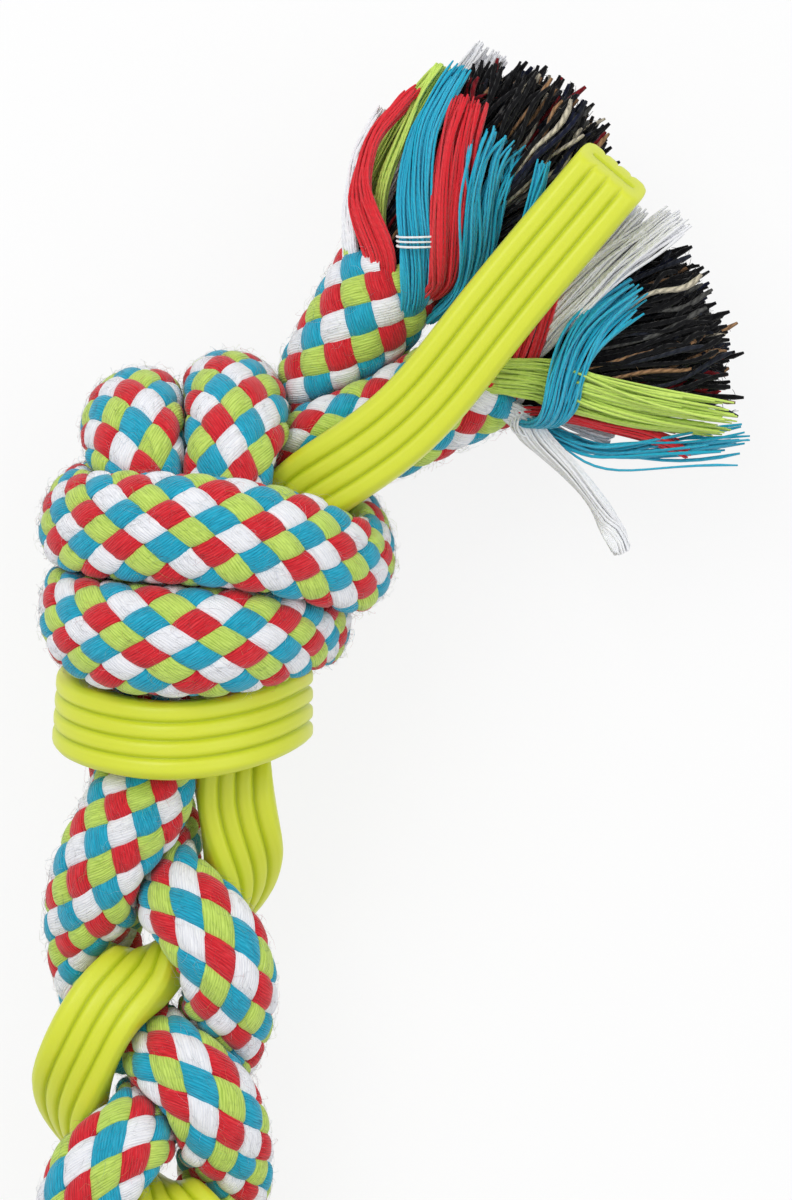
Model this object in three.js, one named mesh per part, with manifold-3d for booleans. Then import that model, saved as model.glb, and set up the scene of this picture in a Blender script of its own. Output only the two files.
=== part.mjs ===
// Rope dog toy: two braided cotton ropes and a ribbed rubber strap, plaited and knotted at both ends.
// Millimetres, +Z up. The toy lies on the undersides of its two knots, its length along Y.

import * as THREE from 'three';
import { mergeVertices } from 'three/addons/utils/BufferGeometryUtils.js';
import Module from 'manifold-3d';

// Driving dimensions of the cords
const ropeDiameter = 16;
const strapWidth = 11.4;
const strapThickness = 6.2;
const strapCornerRadius = 2;
const ribDepth = 0.8;
const ribCount = 4;
const ribCrestShare = 0.5;
const cordGap = 0.4;
const pressedGap = 0.9;
const ropeFirmShare = 0.62;

// Driving dimensions of the plait
const plaitPeriod = 68;
const plaitRunShare = 1.5;
const nearKnotMiddle = 100.8;
const ropeSwing = 6.2;
const strapSwing = 12.4;
const plaitDepth = 8;
const faceLagShare = 0.13;
const knotReach = 30;

// Driving dimensions of the tassels
const tuftLength = 31;
const tuftBaseShare = 0.57;
const tuftTipShare = 1.37;
const tasselLeanShares = { rope_a: -0.22, rope_b: -0.26 };
const tasselFlatShare = 0.74;
const bundleLength = 32;
const bundleThicknessShare = 0.3;
const bundleLiftShare = 0.19;
const tasselGap = 0.4;
const threadDiameter = 0.5;
const threadPitch = 1.1;
const threadTurnCount = 3;
const threadPlaceShare = 0.3;

// Underside: how deep the knots are cut flat, as a share of the rope's diameter
const restingCutShare = 0.1;

// Faceting
const beadSpacing = 3.2;
const ropeSideCount = 10;
const ropeStep = 6;
const strapStep = 7;
const tuftSideCount = 16;
const tuftStepCount = 5;
const crownShares = [0.75, 0.4];
const bundleStepCount = 5;
const rimShare = 0.7;
const bowSpanShare = 0.67;
const threadSideCount = 4;
const threadStepCount = 10;
const settleRoundCount = 500;
const finishRoundCount = 200;
const neighbourBeadCount = 7;
const tensionShare = 0.12;
const stiffnessShare = 0.5;
const eveningShare = 0.6;
const endHoldShare = 0.1;
const pushShare = 0.8;

const fairShare = 1 / 3;

const ropeRadius = ropeDiameter / 2;
const tuftBaseRadius = tuftBaseShare * ropeRadius;
const tuftTipRadius = tuftTipShare * ropeRadius;
const bundleThickness = bundleThicknessShare * ropeRadius;
const bundleLift = bundleLiftShare * ropeRadius;

// How a rope is squeezed where it lies: shares of its radius across and through
const fits = {
  free: { acrossShare: 1, throughShare: 1, holdShare: 0.08 },
  plait: { acrossShare: 0.92, throughShare: 0.86, holdShare: 0.05 },
  inner: { acrossShare: 0.8, throughShare: 0.8, holdShare: 0 },
  bump: { acrossShare: 1, throughShare: 0.85, holdShare: 0.2 },
  band: { acrossShare: 1, throughShare: 0.74, holdShare: 0.3 },
};

// Routes from the plait into the knot and out to the cut end, in rope radii from the knot's middle
const routeShares = {
  rope_a: [
    ['inner', 0.12, -2.5, 1.0],
    ['inner', 0.7, -0.75, 1.3],
    ['inner', 1.15, 1.0, 1.4],
    ['bump', 1.45, 2.4, 1.6],
    ['bump', 1.55, 3.5, 0.6],
    ['bump', 1.55, 3.5, -1.2],
    ['band', 1.85, 2.75, -2.75],
    ['band', 2.75, 1.75, -2.5],
    ['band', 3.32, 1.4, -1.0],
    ['band', 3.37, 1.2, 0.5],
    ['band', 3.0, 1.0, 2.0],
    ['band', 2.1, 1.1, 2.8],
    ['band', 1.0, 1.2, 3.0],
    ['band', -0.25, 1.28, 2.75],
    ['band', -0.98, 1.38, 1.8],
    ['band', -1.28, 1.5, 0.38],
    ['inner', -1.0, 1.7, -1.0],
    ['inner', 0.25, 1.9, -1.6],
    ['inner', 1.5, 2.1, -1.5],
    ['free', 2.4, 2.9, -0.9],
    ['free', 3.3, 4.2, -0.25],
    ['free', 4.38, 6.15, 0],
  ],
  rope_b: [
    ['inner', -0.5, -2.5, -0.25],
    ['inner', -0.35, -0.75, 0.75],
    ['inner', -0.25, 1.0, 1.4],
    ['bump', -0.45, 2.3, 1.5],
    ['bump', -0.42, 3.3, 0.5],
    ['bump', -0.35, 3.3, -1.25],
    ['band', -0.12, 2.25, -2.75],
    ['band', 0.75, 0.9, -3.0],
    ['band', 1.9, -0.12, -2.5],
    ['band', 2.55, -0.44, -1.1],
    ['band', 2.63, -0.44, 0.4],
    ['band', 2.35, -0.5, 1.6],
    ['band', 1.75, -0.7, 2.5],
    ['band', 0.75, -0.78, 2.95],
    ['band', -0.38, -0.65, 2.7],
    ['band', -1.14, -0.4, 1.75],
    ['band', -1.38, -0.06, 0.4],
    ['inner', -1.0, 0.5, -0.75],
    ['inner', 0.12, 1.0, -0.4],
    ['inner', 1.5, 1.4, -0.12],
    ['inner', 2.5, 2.3, -0.3],
    ['free', 3.6, 3.1, -0.1],
    ['free', 4.75, 3.6, 0],
    ['free', 6.28, 4.2, 0],
  ],
  strap: [
    ['inner', 1.3, -2.5, 0.4, 1, 0, 1],
    ['inner', 1.06, -1.0, 0, 0.3, 0, 1],
    ['inner', 0.75, 0.12, -0.4, 0, 0.5, 1],
    ['inner', 0.62, 0.56, -1.12, 0, 1, 0],
    ['inner', 0.56, -0.12, -1.94, 0, 0, -1],
    ['inner', 0.75, -1.25, -2.3, 0, 0, -1],
    ['band', 1.6, -1.9, -2.0, 0.5, 0, -1],
    ['band', 2.4, -1.6, -0.75, 1, 0, -0.3],
    ['band', 2.46, -1.75, 0.4, 1, 0, 0.2],
    ['band', 2.0, -2.15, 1.5, 0.8, 0, 0.6],
    ['band', 1.25, -2.55, 2.2, 0.3, 0, 1],
    ['band', 0.38, -2.62, 2.3, 0, 0, 1],
    ['band', -0.5, -2.35, 1.94, -0.5, 0, 0.9],
    ['band', -1.14, -1.95, 1.06, -0.9, 0, 0.4],
    ['band', -1.32, -1.7, -0.12, -1, 0, 0],
    ['inner', -0.88, -1.5, -1.12, -0.6, 0, -0.8],
    ['inner', 0.25, -0.8, -1.12, 0, 0, -1],
    ['inner', 1.5, 0.12, -0.62, 0, 0, -1],
    ['inner', 2.6, 0.9, 0.5, 0, -0.5, -1],
    ['band', 3.5, 1.95, 1.45, 0, 0, -1],
    ['free', 5.8, 4.75, 2.1, 0, 0, -1],
    ['free', 8.2, 7.62, 2.1, 0, 0, -1],
  ],
};

// The far knot is the near one turned half way round the Z axis. It sits where the plait's strands,
// one and a half periods on, arrive in the same order.
const plaitTop = nearKnotMiddle - knotReach;
const plaitBottom = plaitTop - plaitRunShare * plaitPeriod;
const farKnotMiddle = plaitBottom - knotReach;
const phaseShares = { rope_a: 0.32, rope_b: -0.36, strap: -0.085 };
const knotHeartShares = [0.75, 0.5, 0];
const heartTiltShare = 0.5;

// Where a strand of the plait lies at a height along the toy
function plaitPlace(name, height) {
  const swing = name === 'strap' ? strapSwing : ropeSwing;
  const turn = 2 * Math.PI * (phaseShares[name] - height / plaitPeriod);
  const lag = 2 * Math.PI * faceLagShare;
  const place = new THREE.Vector3(swing * Math.cos(turn), height, -plaitDepth * Math.sin(2 * turn));
  const face = name === 'strap'
    ? new THREE.Vector3(Math.cos(turn - lag) ** 2, 0, -Math.sin(turn - lag))
    : new THREE.Vector3(0, 0, 1);
  return { place, face, fit: fits.plait };
}

// The hand-chosen stretch in a knot, as places with the way the section faces
function knotPlaces(name, middle, side) {
  const heart = new THREE.Vector3(...knotHeartShares);
  return routeShares[name].map(([fitName, x, y, z, ...face]) => {
    const at = new THREE.Vector3(x, y, z);
    const outward = at.clone().sub(heart);
    outward.y *= heartTiltShare;
    const facing = face.length ? new THREE.Vector3(...face) : outward;
    const place = at.multiplyScalar(ropeRadius);
    return {
      place: new THREE.Vector3(side * place.x, middle + side * place.y, place.z),
      face: new THREE.Vector3(side * facing.x, side * facing.y, facing.z),
      fit: fits[fitName],
    };
  });
}

// A whole strand, from its cut end at the far knot to its cut end at the near one
function wholeRoute(name) {
  const steps = Math.round((plaitTop - plaitBottom) / beadSpacing);
  const heights = Array.from({ length: steps + 1 }, (_, i) => (
    plaitBottom + ((plaitTop - plaitBottom) * i) / steps
  ));
  return [
    ...knotPlaces(name, farKnotMiddle, -1).reverse(),
    ...heights.map((height) => plaitPlace(name, height)),
    ...knotPlaces(name, nearKnotMiddle, 1),
  ];
}

// Beads at an even step along the straight pieces between a route's places
function strung(name) {
  const route = wholeRoute(name);
  const reach = [0];
  for (let i = 1; i < route.length; i += 1) {
    reach.push(reach[i - 1] + route[i].place.distanceTo(route[i - 1].place));
  }
  const total = reach[reach.length - 1];
  const count = Math.round(total / beadSpacing);
  const isStrap = name === 'strap';
  let piece = 1;
  return Array.from({ length: count + 1 }, (_, i) => {
    const along = (total * i) / count;
    while (piece < route.length - 1 && reach[piece] < along) piece += 1;
    const part = (along - reach[piece - 1]) / (reach[piece] - reach[piece - 1]);
    const [a, b] = [route[piece - 1], route[piece]];
    const mix = (key) => a.fit[key] + (b.fit[key] - a.fit[key]) * part;
    const facing = b.face.clone().multiplyScalar(a.face.dot(b.face) < 0 ? -1 : 1);
    return {
      place: a.place.clone().lerp(b.place, part),
      target: a.place.clone().lerp(b.place, part),
      face: a.face.clone().lerp(facing, part).normalize(),
      side: new THREE.Vector3(),
      push: new THREE.Vector3(),
      touches: 0,
      across: isStrap ? strapWidth / 2 : mix('acrossShare') * ropeRadius,
      through: isStrap ? strapThickness / 2 : mix('throughShare') * ropeRadius,
      hold: mix('holdShare'),
      corner: isStrap ? strapCornerRadius : 0,
      firm: isStrap ? 1 : ropeFirmShare,
    };
  });
}

// Which way each section lies: across and through the strand, square to its run
function squareSections(beads) {
  const run = new THREE.Vector3();
  beads.forEach((bead, i) => {
    const ahead = beads[Math.min(i + 1, beads.length - 1)].place;
    const behind = beads[Math.max(i - 1, 0)].place;
    run.subVectors(ahead, behind).normalize();
    bead.side.crossVectors(run, bead.face).normalize();
  });
}

// How far a section reaches towards a unit direction
function reachTowards(bead, direction) {
  const lean = Math.abs(bead.side.dot(direction));
  if (bead.corner) {
    const rest = Math.sqrt(Math.max(0, 1 - lean * lean));
    return bead.corner + (bead.across - bead.corner) * lean + (bead.through - bead.corner) * rest;
  }
  return Math.sqrt(bead.through ** 2 + (bead.across ** 2 - bead.through ** 2) * lean * lean);
}

// Pushes strands apart where two sections are closer than the gap they keep
function pushApart(strands, softness) {
  const all = strands.flatMap((beads, strand) => beads.map((bead, i) => ({ bead, strand, i })));
  const line = new THREE.Vector3();
  const widest = 2 * ropeRadius + cordGap;
  for (let m = 0; m < all.length; m += 1) {
    const first = all[m];
    for (let n = m + 1; n < all.length; n += 1) {
      const second = all[n];
      if (first.strand === second.strand && second.i - first.i < neighbourBeadCount) continue;
      line.subVectors(second.bead.place, first.bead.place);
      const apart = line.length();
      if (apart > widest) continue;
      line.divideScalar(apart);
      const firstReach = reachTowards(first.bead, line) * first.bead.firm;
      const secondReach = reachTowards(second.bead, line) * second.bead.firm;
      const needed = firstReach + secondReach + cordGap;
      if (apart >= needed) continue;
      const shift = (needed - apart) / 2;
      first.bead.push.addScaledVector(line, -shift);
      second.bead.push.addScaledVector(line, shift);
      first.bead.touches += 1;
      second.bead.touches += 1;
    }
  }
  all.forEach(({ bead }) => {
    if (bead.touches) bead.place.addScaledVector(bead.push, softness / Math.sqrt(bead.touches));
    bead.push.set(0, 0, 0);
    bead.touches = 0;
  });
}

// Evens out a strand's beads along its run, bends it fairly, draws it taut and towards its own route
function drawTaut(beads, tension, holding) {
  const before = beads.map((bead) => bead.place.clone());
  const last = beads.length - 1;
  const run = new THREE.Vector3();
  for (let i = 1; i < last; i += 1) {
    const bead = beads[i];
    run.subVectors(before[i + 1], before[i - 1]).normalize();
    const near = before[i - 1].clone().add(before[i + 1]).multiplyScalar(1 / 2).sub(before[i]);
    const far = before[Math.max(i - 2, 0)].clone().add(before[Math.min(i + 2, last)]);
    far.multiplyScalar(1 / 2).sub(before[i]);
    const fair = near.clone().multiplyScalar(1 + fairShare).addScaledVector(far, -fairShare);
    const along = near.dot(run);
    fair.addScaledVector(run, -fair.dot(run));
    near.addScaledVector(run, -along);
    bead.place.addScaledVector(run, along * eveningShare);
    bead.place.addScaledVector(near, tension);
    bead.place.addScaledVector(fair, i > 1 && i < last - 1 ? stiffnessShare : 0);
    bead.place.lerp(bead.target, bead.hold * holding);
  }
  [[0, 1, 2], [last, last - 1, last - 2]].forEach(([end, next, after]) => {
    const straight = before[next].clone().multiplyScalar(2).sub(before[after]);
    beads[end].place.lerp(straight, stiffnessShare);
    beads[end].place.lerp(beads[end].target, endHoldShare);
  });
}

// Lets the strands find their places against each other, and parts them fully at the end
function settle(strands) {
  for (let round = 0; round < settleRoundCount + finishRoundCount; round += 1) {
    const easing = round < settleRoundCount ? 1 : 0;
    strands.forEach((beads) => drawTaut(beads, tensionShare * easing, easing));
    strands.forEach(squareSections);
    pushApart(strands, pushShare);
  }
  strands.forEach(squareSections);
}

const strandNames = ['rope_a', 'rope_b', 'strap'];
const strands = Object.fromEntries(strandNames.map((name) => [name, strung(name)]));
settle(Object.values(strands));

// Joins rings of points into one closed body, with a flat end at each side
function skin(rings) {
  const sides = rings[0].length;
  const points = rings.flat();
  const corners = [];
  for (let r = 0; r < rings.length - 1; r += 1) {
    for (let k = 0; k < sides; k += 1) {
      const next = (k + 1) % sides;
      const [a, b] = [r * sides + k, r * sides + next];
      const [c, d] = [a + sides, b + sides];
      corners.push(a, b, c, b, d, c);
    }
  }
  const last = (rings.length - 1) * sides;
  const middle = (ring) => ring.reduce((sum, p) => sum.add(p), new THREE.Vector3()).divideScalar(sides);
  const startHub = points.push(middle(rings[0])) - 1;
  const endHub = points.push(middle(rings[rings.length - 1])) - 1;
  for (let k = 0; k < sides; k += 1) {
    const next = (k + 1) % sides;
    corners.push(startHub, next, k, endHub, last + k, last + next);
  }
  const geometry = new THREE.BufferGeometry();
  geometry.setAttribute('position', new THREE.Float32BufferAttribute(points.flatMap((p) => p.toArray()), 3));
  geometry.setIndex(corners);
  return geometry;
}

// Stations at an even step along a settled strand, with an unturning frame and the section's own axes
function stationsOf(beads, spacing) {
  const line = new THREE.CatmullRomCurve3(beads.map((bead) => bead.place));
  const length = line.getLength();
  const count = Math.round(length / spacing);
  const frameSide = new THREE.Vector3();
  return Array.from({ length: count + 1 }, (_, i) => {
    const share = i / count;
    const run = line.getTangentAt(share);
    if (i === 0) frameSide.copy(beads[0].side);
    frameSide.addScaledVector(run, -frameSide.dot(run)).normalize();
    const part = line.getUtoTmapping(share) * (beads.length - 1);
    const low = Math.min(Math.floor(part), beads.length - 2);
    const [a, b] = [beads[low], beads[low + 1]];
    const lean = a.side.dot(b.side) < 0 ? -1 : 1;
    const side = a.side.clone().lerp(b.side.clone().multiplyScalar(lean), part - low);
    side.addScaledVector(run, -side.dot(run)).normalize();
    return {
      place: line.getPointAt(share),
      run,
      side,
      frameSide: frameSide.clone(),
      corner: a.corner,
      across: THREE.MathUtils.lerp(a.across, b.across, part - low),
      through: THREE.MathUtils.lerp(a.through, b.through, part - low),
    };
  });
}

// The beads near a station that its rope presses against, each with the plane that it may reach to
function pressedBy(station, name, share) {
  const planes = [];
  const line = new THREE.Vector3();
  Object.entries(strands).forEach(([other, beads]) => {
    beads.forEach((bead, i) => {
      const away = Math.abs(i - share * (beads.length - 1));
      if (other === name && away < neighbourBeadCount) return;
      line.subVectors(bead.place, station.place);
      const apart = line.length();
      if (apart > 2 * ropeDiameter) return;
      line.divideScalar(apart);
      const own = reachTowards(station, line);
      const theirs = reachTowards(bead, line);
      const limit = bead.corner
        ? apart - theirs - pressedGap
        : (apart * own) / (own + theirs) - pressedGap / 2;
      if (limit < own) planes.push({ toward: line.clone(), limit });
    });
  });
  return planes;
}

// A rope's section: an ellipse, pressed flat where another strand lies against it
function ropeRing(station, name, share) {
  const { place, run, side, frameSide, across, through } = station;
  const frameUp = new THREE.Vector3().crossVectors(run, frameSide);
  const planes = pressedBy(station, name, share);
  return Array.from({ length: ropeSideCount }, (_, k) => {
    const turn = (2 * Math.PI * k) / ropeSideCount;
    const spoke = frameSide.clone().multiplyScalar(Math.cos(turn)).addScaledVector(frameUp, Math.sin(turn));
    const lean = spoke.dot(side);
    let radius = 1 / Math.sqrt((lean / across) ** 2 + (1 - lean * lean) / through ** 2);
    planes.forEach(({ toward, limit }) => {
      const facing = spoke.dot(toward);
      if (facing > 0) radius = Math.min(radius, limit / facing);
    });
    return spoke.multiplyScalar(radius).add(place);
  });
}

function ropeSolid(name) {
  const stations = stationsOf(strands[name], ropeStep);
  return skin(stations.map((station, i) => ropeRing(station, name, i / (stations.length - 1))));
}

// The strap's section: two broad faces of round ribs with grooves between, and plain edges
function strapOutline() {
  const faceHalf = strapWidth / 2 - strapCornerRadius;
  const ribWidth = (2 * faceHalf) / ribCount;
  const crest = strapThickness / 2;
  const groove = crest - ribDepth;
  const crestHalf = ribWidth * ribCrestShare / 2;
  const upper = [];
  for (let rib = 0; rib < ribCount; rib += 1) {
    const middle = faceHalf - ribWidth * (rib + 1 / 2);
    if (rib > 0) upper.push([middle + crestHalf, crest]);
    upper.push([middle - (rib > 0 ? crestHalf : 0), crest]);
    if (rib < ribCount - 1) upper.push([middle - ribWidth / 2, groove]);
  }
  const half = [...upper, [-strapWidth / 2, 0]];
  return [...half, ...half.map(([x, y]) => [-x, -y])];
}

function strapSolid(beads) {
  const outline = strapOutline();
  let before = null;
  const rings = stationsOf(beads, strapStep).map(({ place, run, side }) => {
    if (before && before.dot(side) < 0) side.negate();
    before = side;
    const up = new THREE.Vector3().crossVectors(run, side);
    return outline.map(([x, y]) => place.clone().addScaledVector(side, x).addScaledVector(up, y));
  });
  return skin(rings);
}

// The frame of a cut end: out along the strand, to its left seen from above, and up
function endFrame(name, end) {
  const stations = stationsOf(strands[name], ropeStep);
  const station = end === 'near' ? stations[stations.length - 1] : stations[0];
  const out = station.run.clone().multiplyScalar(end === 'near' ? 1 : -1);
  const up = new THREE.Vector3(0, 0, 1);
  up.addScaledVector(out, -up.dot(out)).normalize();
  const left = new THREE.Vector3().crossVectors(up, out);
  return { place: station.place, out, left, up, leanShare: tasselLeanShares[name] };
}

// A place in a tassel: how far out, how far from its middle line and how far round from the left.
// The tassel lies a little flattened, the more so towards its tips, and may lean to one side.
function tasselPlace(frame, along, radius, round) {
  const flat = THREE.MathUtils.lerp(1, tasselFlatShare, Math.min(along / tuftLength, 1));
  return frame.place.clone()
    .addScaledVector(frame.out, along + tasselGap)
    .addScaledVector(frame.left, radius * Math.cos(round) + (frame.leanShare * along ** 2) / tuftLength)
    .addScaledVector(frame.up, radius * flat * Math.sin(round));
}

// The flaring outside of the core yarns, so far out along the tassel
function tuftRadius(along) {
  const share = Math.min(along / (tuftLength - bundleThickness), 1);
  return THREE.MathUtils.lerp(tuftBaseRadius, tuftTipRadius, Math.sin((share * Math.PI) / 2));
}

function tuftRing(frame, along, radius) {
  return Array.from({ length: tuftSideCount }, (_, k) => (
    tasselPlace(frame, along, radius, (2 * Math.PI * k) / tuftSideCount)
  ));
}

// The tuft of core yarns, with a crowned end
function tuftSolid(frame) {
  const body = tuftLength - bundleThickness;
  const rings = Array.from({ length: tuftStepCount + 1 }, (_, i) => {
    const along = (i / tuftStepCount) * body;
    return tuftRing(frame, along, tuftRadius(along));
  });
  crownShares.forEach((share, step) => {
    const along = body + (bundleThickness * (step + 1)) / crownShares.length;
    rings.push(tuftRing(frame, along, tuftTipRadius * share));
  });
  return skin(rings);
}

// The eight bundles of loosened carrier yarns round one tuft: colour, share of the length, how far
// it bows out, how much of its eighth it fills, and which one the thread binds
const bundleShares = {
  rope_a: [
    ['red', 0.97, 1, 0.9],
    ['lime', 0.92, 0.3, 0.75],
    ['blue', 1, 1, 0.62, 'bound'],
    ['red', 0.94, 0.5, 0.9],
    ['blue', 0.8, 0.3, 0.9],
    ['white', 0.9, 0.2, 0.85],
    ['lime', 0.84, 0.4, 0.85],
    ['white', 0.88, 0.6, 0.85],
  ],
  rope_b: [
    ['white', 0.95, 0.3, 0.9],
    ['red', 0.7, 0.2, 0.85],
    ['blue', 0.82, 1, 0.62, 'bound'],
    ['lime', 1, 0.8, 0.95],
    ['red', 0.78, 0.4, 0.85],
    ['blue', 0.96, 0.6, 0.8],
    ['lime', 0.85, 0.3, 0.85],
    ['white', 0.92, 0.8, 0.85],
  ],
};

// Where a bundle's underside runs over the core yarns, half its width and its thickness,
// at a share of its length
function bundleRun(share, lengthShare, bowShare, fillShare, count) {
  const along = share * lengthShare * bundleLength;
  const bow = bowShare * bundleLift * Math.sin(Math.PI * Math.min(share / bowSpanShare, 1));
  const floor = tuftRadius(along) + tasselGap + bow;
  const half = (Math.PI / count) * fillShare - tasselGap / (2 * floor);
  return { along, inner: floor / Math.cos(half * rimShare), half, thick: bundleThickness * (1 - share / 2) };
}

// A bundle's section: a flattened six-sided lens, thinner at its tip
function bundleSolid(frame, [, lengthShare, bowShare, fillShare], index, count) {
  const middle = (2 * Math.PI * index) / count;
  const rings = Array.from({ length: bundleStepCount + 1 }, (_, i) => {
    const { along, inner, half, thick } = bundleRun(i / bundleStepCount, lengthShare, bowShare, fillShare, count);
    return [
      [inner, -half * rimShare],
      [inner, half * rimShare],
      [inner + thick / 2, half],
      [inner + thick, half * rimShare],
      [inner + thick, -half * rimShare],
      [inner + thick / 2, -half],
    ].map(([radius, round]) => tasselPlace(frame, along, radius, middle - round));
  });
  return skin(rings);
}

// The thread's middle line: three turns round one bundle, clear of it all round
function threadLine(frame, [, lengthShare, bowShare, fillShare], index, count) {
  const middle = (2 * Math.PI * index) / count;
  const clear = tasselGap + threadDiameter;
  return Array.from({ length: threadTurnCount * threadStepCount + 1 }, (_, i) => {
    const turn = i / threadStepCount;
    const share = threadPlaceShare + (turn * threadPitch) / (lengthShare * bundleLength);
    const { along, inner, half, thick } = bundleRun(share, lengthShare, bowShare, fillShare, count);
    const angle = 2 * Math.PI * turn;
    const radius = inner + thick / 2 + (thick / 2 + clear) * Math.sin(angle);
    const round = middle + (half + clear / inner) * Math.cos(angle);
    return tasselPlace(frame, along, radius, round);
  });
}

// The least distance between two turns of a thread, less its diameter
function leastGap(line) {
  let least = Infinity;
  line.forEach((place, i) => {
    line.slice(i + threadStepCount / 2).forEach((other) => {
      least = Math.min(least, place.distanceTo(other) - threadDiameter);
    });
  });
  return least;
}

function threadSolid(line) {
  const middle = line.reduce((sum, place) => sum.add(place), new THREE.Vector3()).divideScalar(line.length);
  const axis = line[line.length - 1].clone().sub(line[0]).normalize();
  const rings = line.map((place, i) => {
    const run = line[Math.min(i + 1, line.length - 1)].clone().sub(line[Math.max(i - 1, 0)]).normalize();
    const outward = place.clone().sub(middle);
    outward.addScaledVector(axis, -outward.dot(axis));
    outward.addScaledVector(run, -outward.dot(run)).normalize();
    const across = new THREE.Vector3().crossVectors(run, outward);
    return Array.from({ length: threadSideCount }, (_, k) => {
      const turn = (2 * Math.PI * k) / threadSideCount;
      return place.clone()
        .addScaledVector(outward, (threadDiameter / 2) * Math.cos(turn))
        .addScaledVector(across, (threadDiameter / 2) * Math.sin(turn));
    });
  });
  return skin(rings);
}

// The knots' undersides, cut flat in one plane for the toy to lie on
const wasm = await Module();
wasm.setup();

function asManifold(geometry) {
  const bare = geometry.clone();
  bare.deleteAttribute('normal');
  bare.deleteAttribute('uv');
  const merged = mergeVertices(bare);
  return new wasm.Manifold(new wasm.Mesh({
    numProp: 3,
    vertProperties: new Float32Array(merged.attributes.position.array),
    triVerts: new Uint32Array(merged.index.array),
  }));
}

function cutAt(geometry, floor) {
  geometry.computeBoundingBox();
  const { min, max } = geometry.boundingBox;
  const size = max.clone().sub(min);
  const block = new THREE.BoxGeometry(size.x * 2, size.y * 2, size.z);
  block.translate((min.x + max.x) / 2, (min.y + max.y) / 2, floor - size.z / 2);
  const mesh = asManifold(geometry).subtract(asManifold(block)).getMesh();
  const cut = new THREE.BufferGeometry();
  cut.setAttribute('position', new THREE.BufferAttribute(mesh.vertProperties, mesh.numProp));
  cut.setIndex(new THREE.BufferAttribute(mesh.triVerts, 1));
  return cut;
}

// The lowest corner of the ropes at one knot
function lowestAt(geometries, isThere) {
  let lowest = Infinity;
  geometries.forEach((geometry) => {
    const places = geometry.attributes.position;
    for (let i = 0; i < places.count; i += 1) {
      if (isThere(places.getY(i))) lowest = Math.min(lowest, places.getZ(i));
    }
  });
  return lowest;
}

const finishes = {
  cord: { color: 0xb9c9a0, roughness: 0.95, metalness: 0 },
  rubber: { color: 0xc8d232, roughness: 0.42, metalness: 0 },
  core: { color: 0x1e1f26, roughness: 0.98, metalness: 0 },
  red: { color: 0xcd2832, roughness: 0.95, metalness: 0 },
  lime: { color: 0xa5cd55, roughness: 0.95, metalness: 0 },
  blue: { color: 0x239bb9, roughness: 0.95, metalness: 0 },
  white: { color: 0xe8ebf2, roughness: 0.95, metalness: 0 },
};

const toy = new THREE.Group();

function add(name, geometry, finish) {
  const mesh = new THREE.Mesh(geometry, new THREE.MeshStandardMaterial(finishes[finish]));
  mesh.name = name;
  toy.add(mesh);
}

function addTassel(rope, end) {
  const frame = endFrame(rope, end);
  const bundles = bundleShares[rope];
  add(`${rope}_${end}_core_tuft`, tuftSolid(frame), 'core');
  bundles.forEach((bundle, index) => {
    const name = `${rope}_${end}_bundle_${index + 1}_${bundle[0]}`;
    add(name, bundleSolid(frame, bundle, index, bundles.length), bundle[0]);
  });
  const bound = bundles.findIndex((bundle) => bundle.includes('bound'));
  const line = threadLine(frame, bundles[bound], bound, bundles.length);
  console.log(`${rope} ${end} binding thread: least gap to itself ${leastGap(line).toFixed(2)} mm`);
  add(`${rope}_${end}_binding_thread`, threadSolid(line), 'white');
}

const middleHeight = (nearKnotMiddle + farKnotMiddle) / 2;
const ropes = { rope_a: ropeSolid('rope_a'), rope_b: ropeSolid('rope_b') };
const restingHeight = restingCutShare * ropeDiameter + Math.max(
  lowestAt(Object.values(ropes), (y) => y > middleHeight),
  lowestAt(Object.values(ropes), (y) => y < middleHeight),
);
Object.entries(ropes).forEach(([name, geometry]) => add(name, cutAt(geometry, restingHeight), 'cord'));
add('strap', strapSolid(strands.strap), 'rubber');
Object.keys(ropes).forEach((rope) => ['near', 'far'].forEach((end) => addTassel(rope, end)));

const box = new THREE.Box3().setFromObject(toy);
toy.position.set(-(box.min.x + box.max.x) / 2, -(box.min.y + box.max.y) / 2, -restingHeight);

export default toy;
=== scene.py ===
"""Rope dog toy: two braided cotton ropes and a ribbed rubber strap, plaited, knotted and frayed.

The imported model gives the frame. The strands are laid along the same routes here and let settle
against each other in the same way, and then get what the solids leave out: the carriers of the
braid as interlaced bands of yarn, the ribs of the strap, and the loose yarns of the tassels.
Lengths are in millimetres until a mesh is made.
"""

import logging
import math
from dataclasses import dataclass, field
from enum import Enum

import bpy
import numpy as np
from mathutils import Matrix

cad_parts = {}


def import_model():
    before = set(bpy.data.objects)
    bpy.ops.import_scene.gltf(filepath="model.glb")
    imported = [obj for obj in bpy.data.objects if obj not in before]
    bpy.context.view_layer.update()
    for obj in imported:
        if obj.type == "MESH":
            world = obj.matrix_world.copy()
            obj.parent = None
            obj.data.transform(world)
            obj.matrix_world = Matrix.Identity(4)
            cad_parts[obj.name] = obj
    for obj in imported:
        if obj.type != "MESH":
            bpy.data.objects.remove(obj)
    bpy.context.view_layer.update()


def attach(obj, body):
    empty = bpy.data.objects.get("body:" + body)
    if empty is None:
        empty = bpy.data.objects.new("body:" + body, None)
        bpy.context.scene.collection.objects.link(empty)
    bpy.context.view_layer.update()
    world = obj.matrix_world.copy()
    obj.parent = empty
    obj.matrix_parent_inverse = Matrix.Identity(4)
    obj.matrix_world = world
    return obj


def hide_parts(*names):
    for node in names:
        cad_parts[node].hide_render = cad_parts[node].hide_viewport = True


Array = np.ndarray
Colour = tuple[float, float, float]
Place = tuple[float, float, float]

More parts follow.
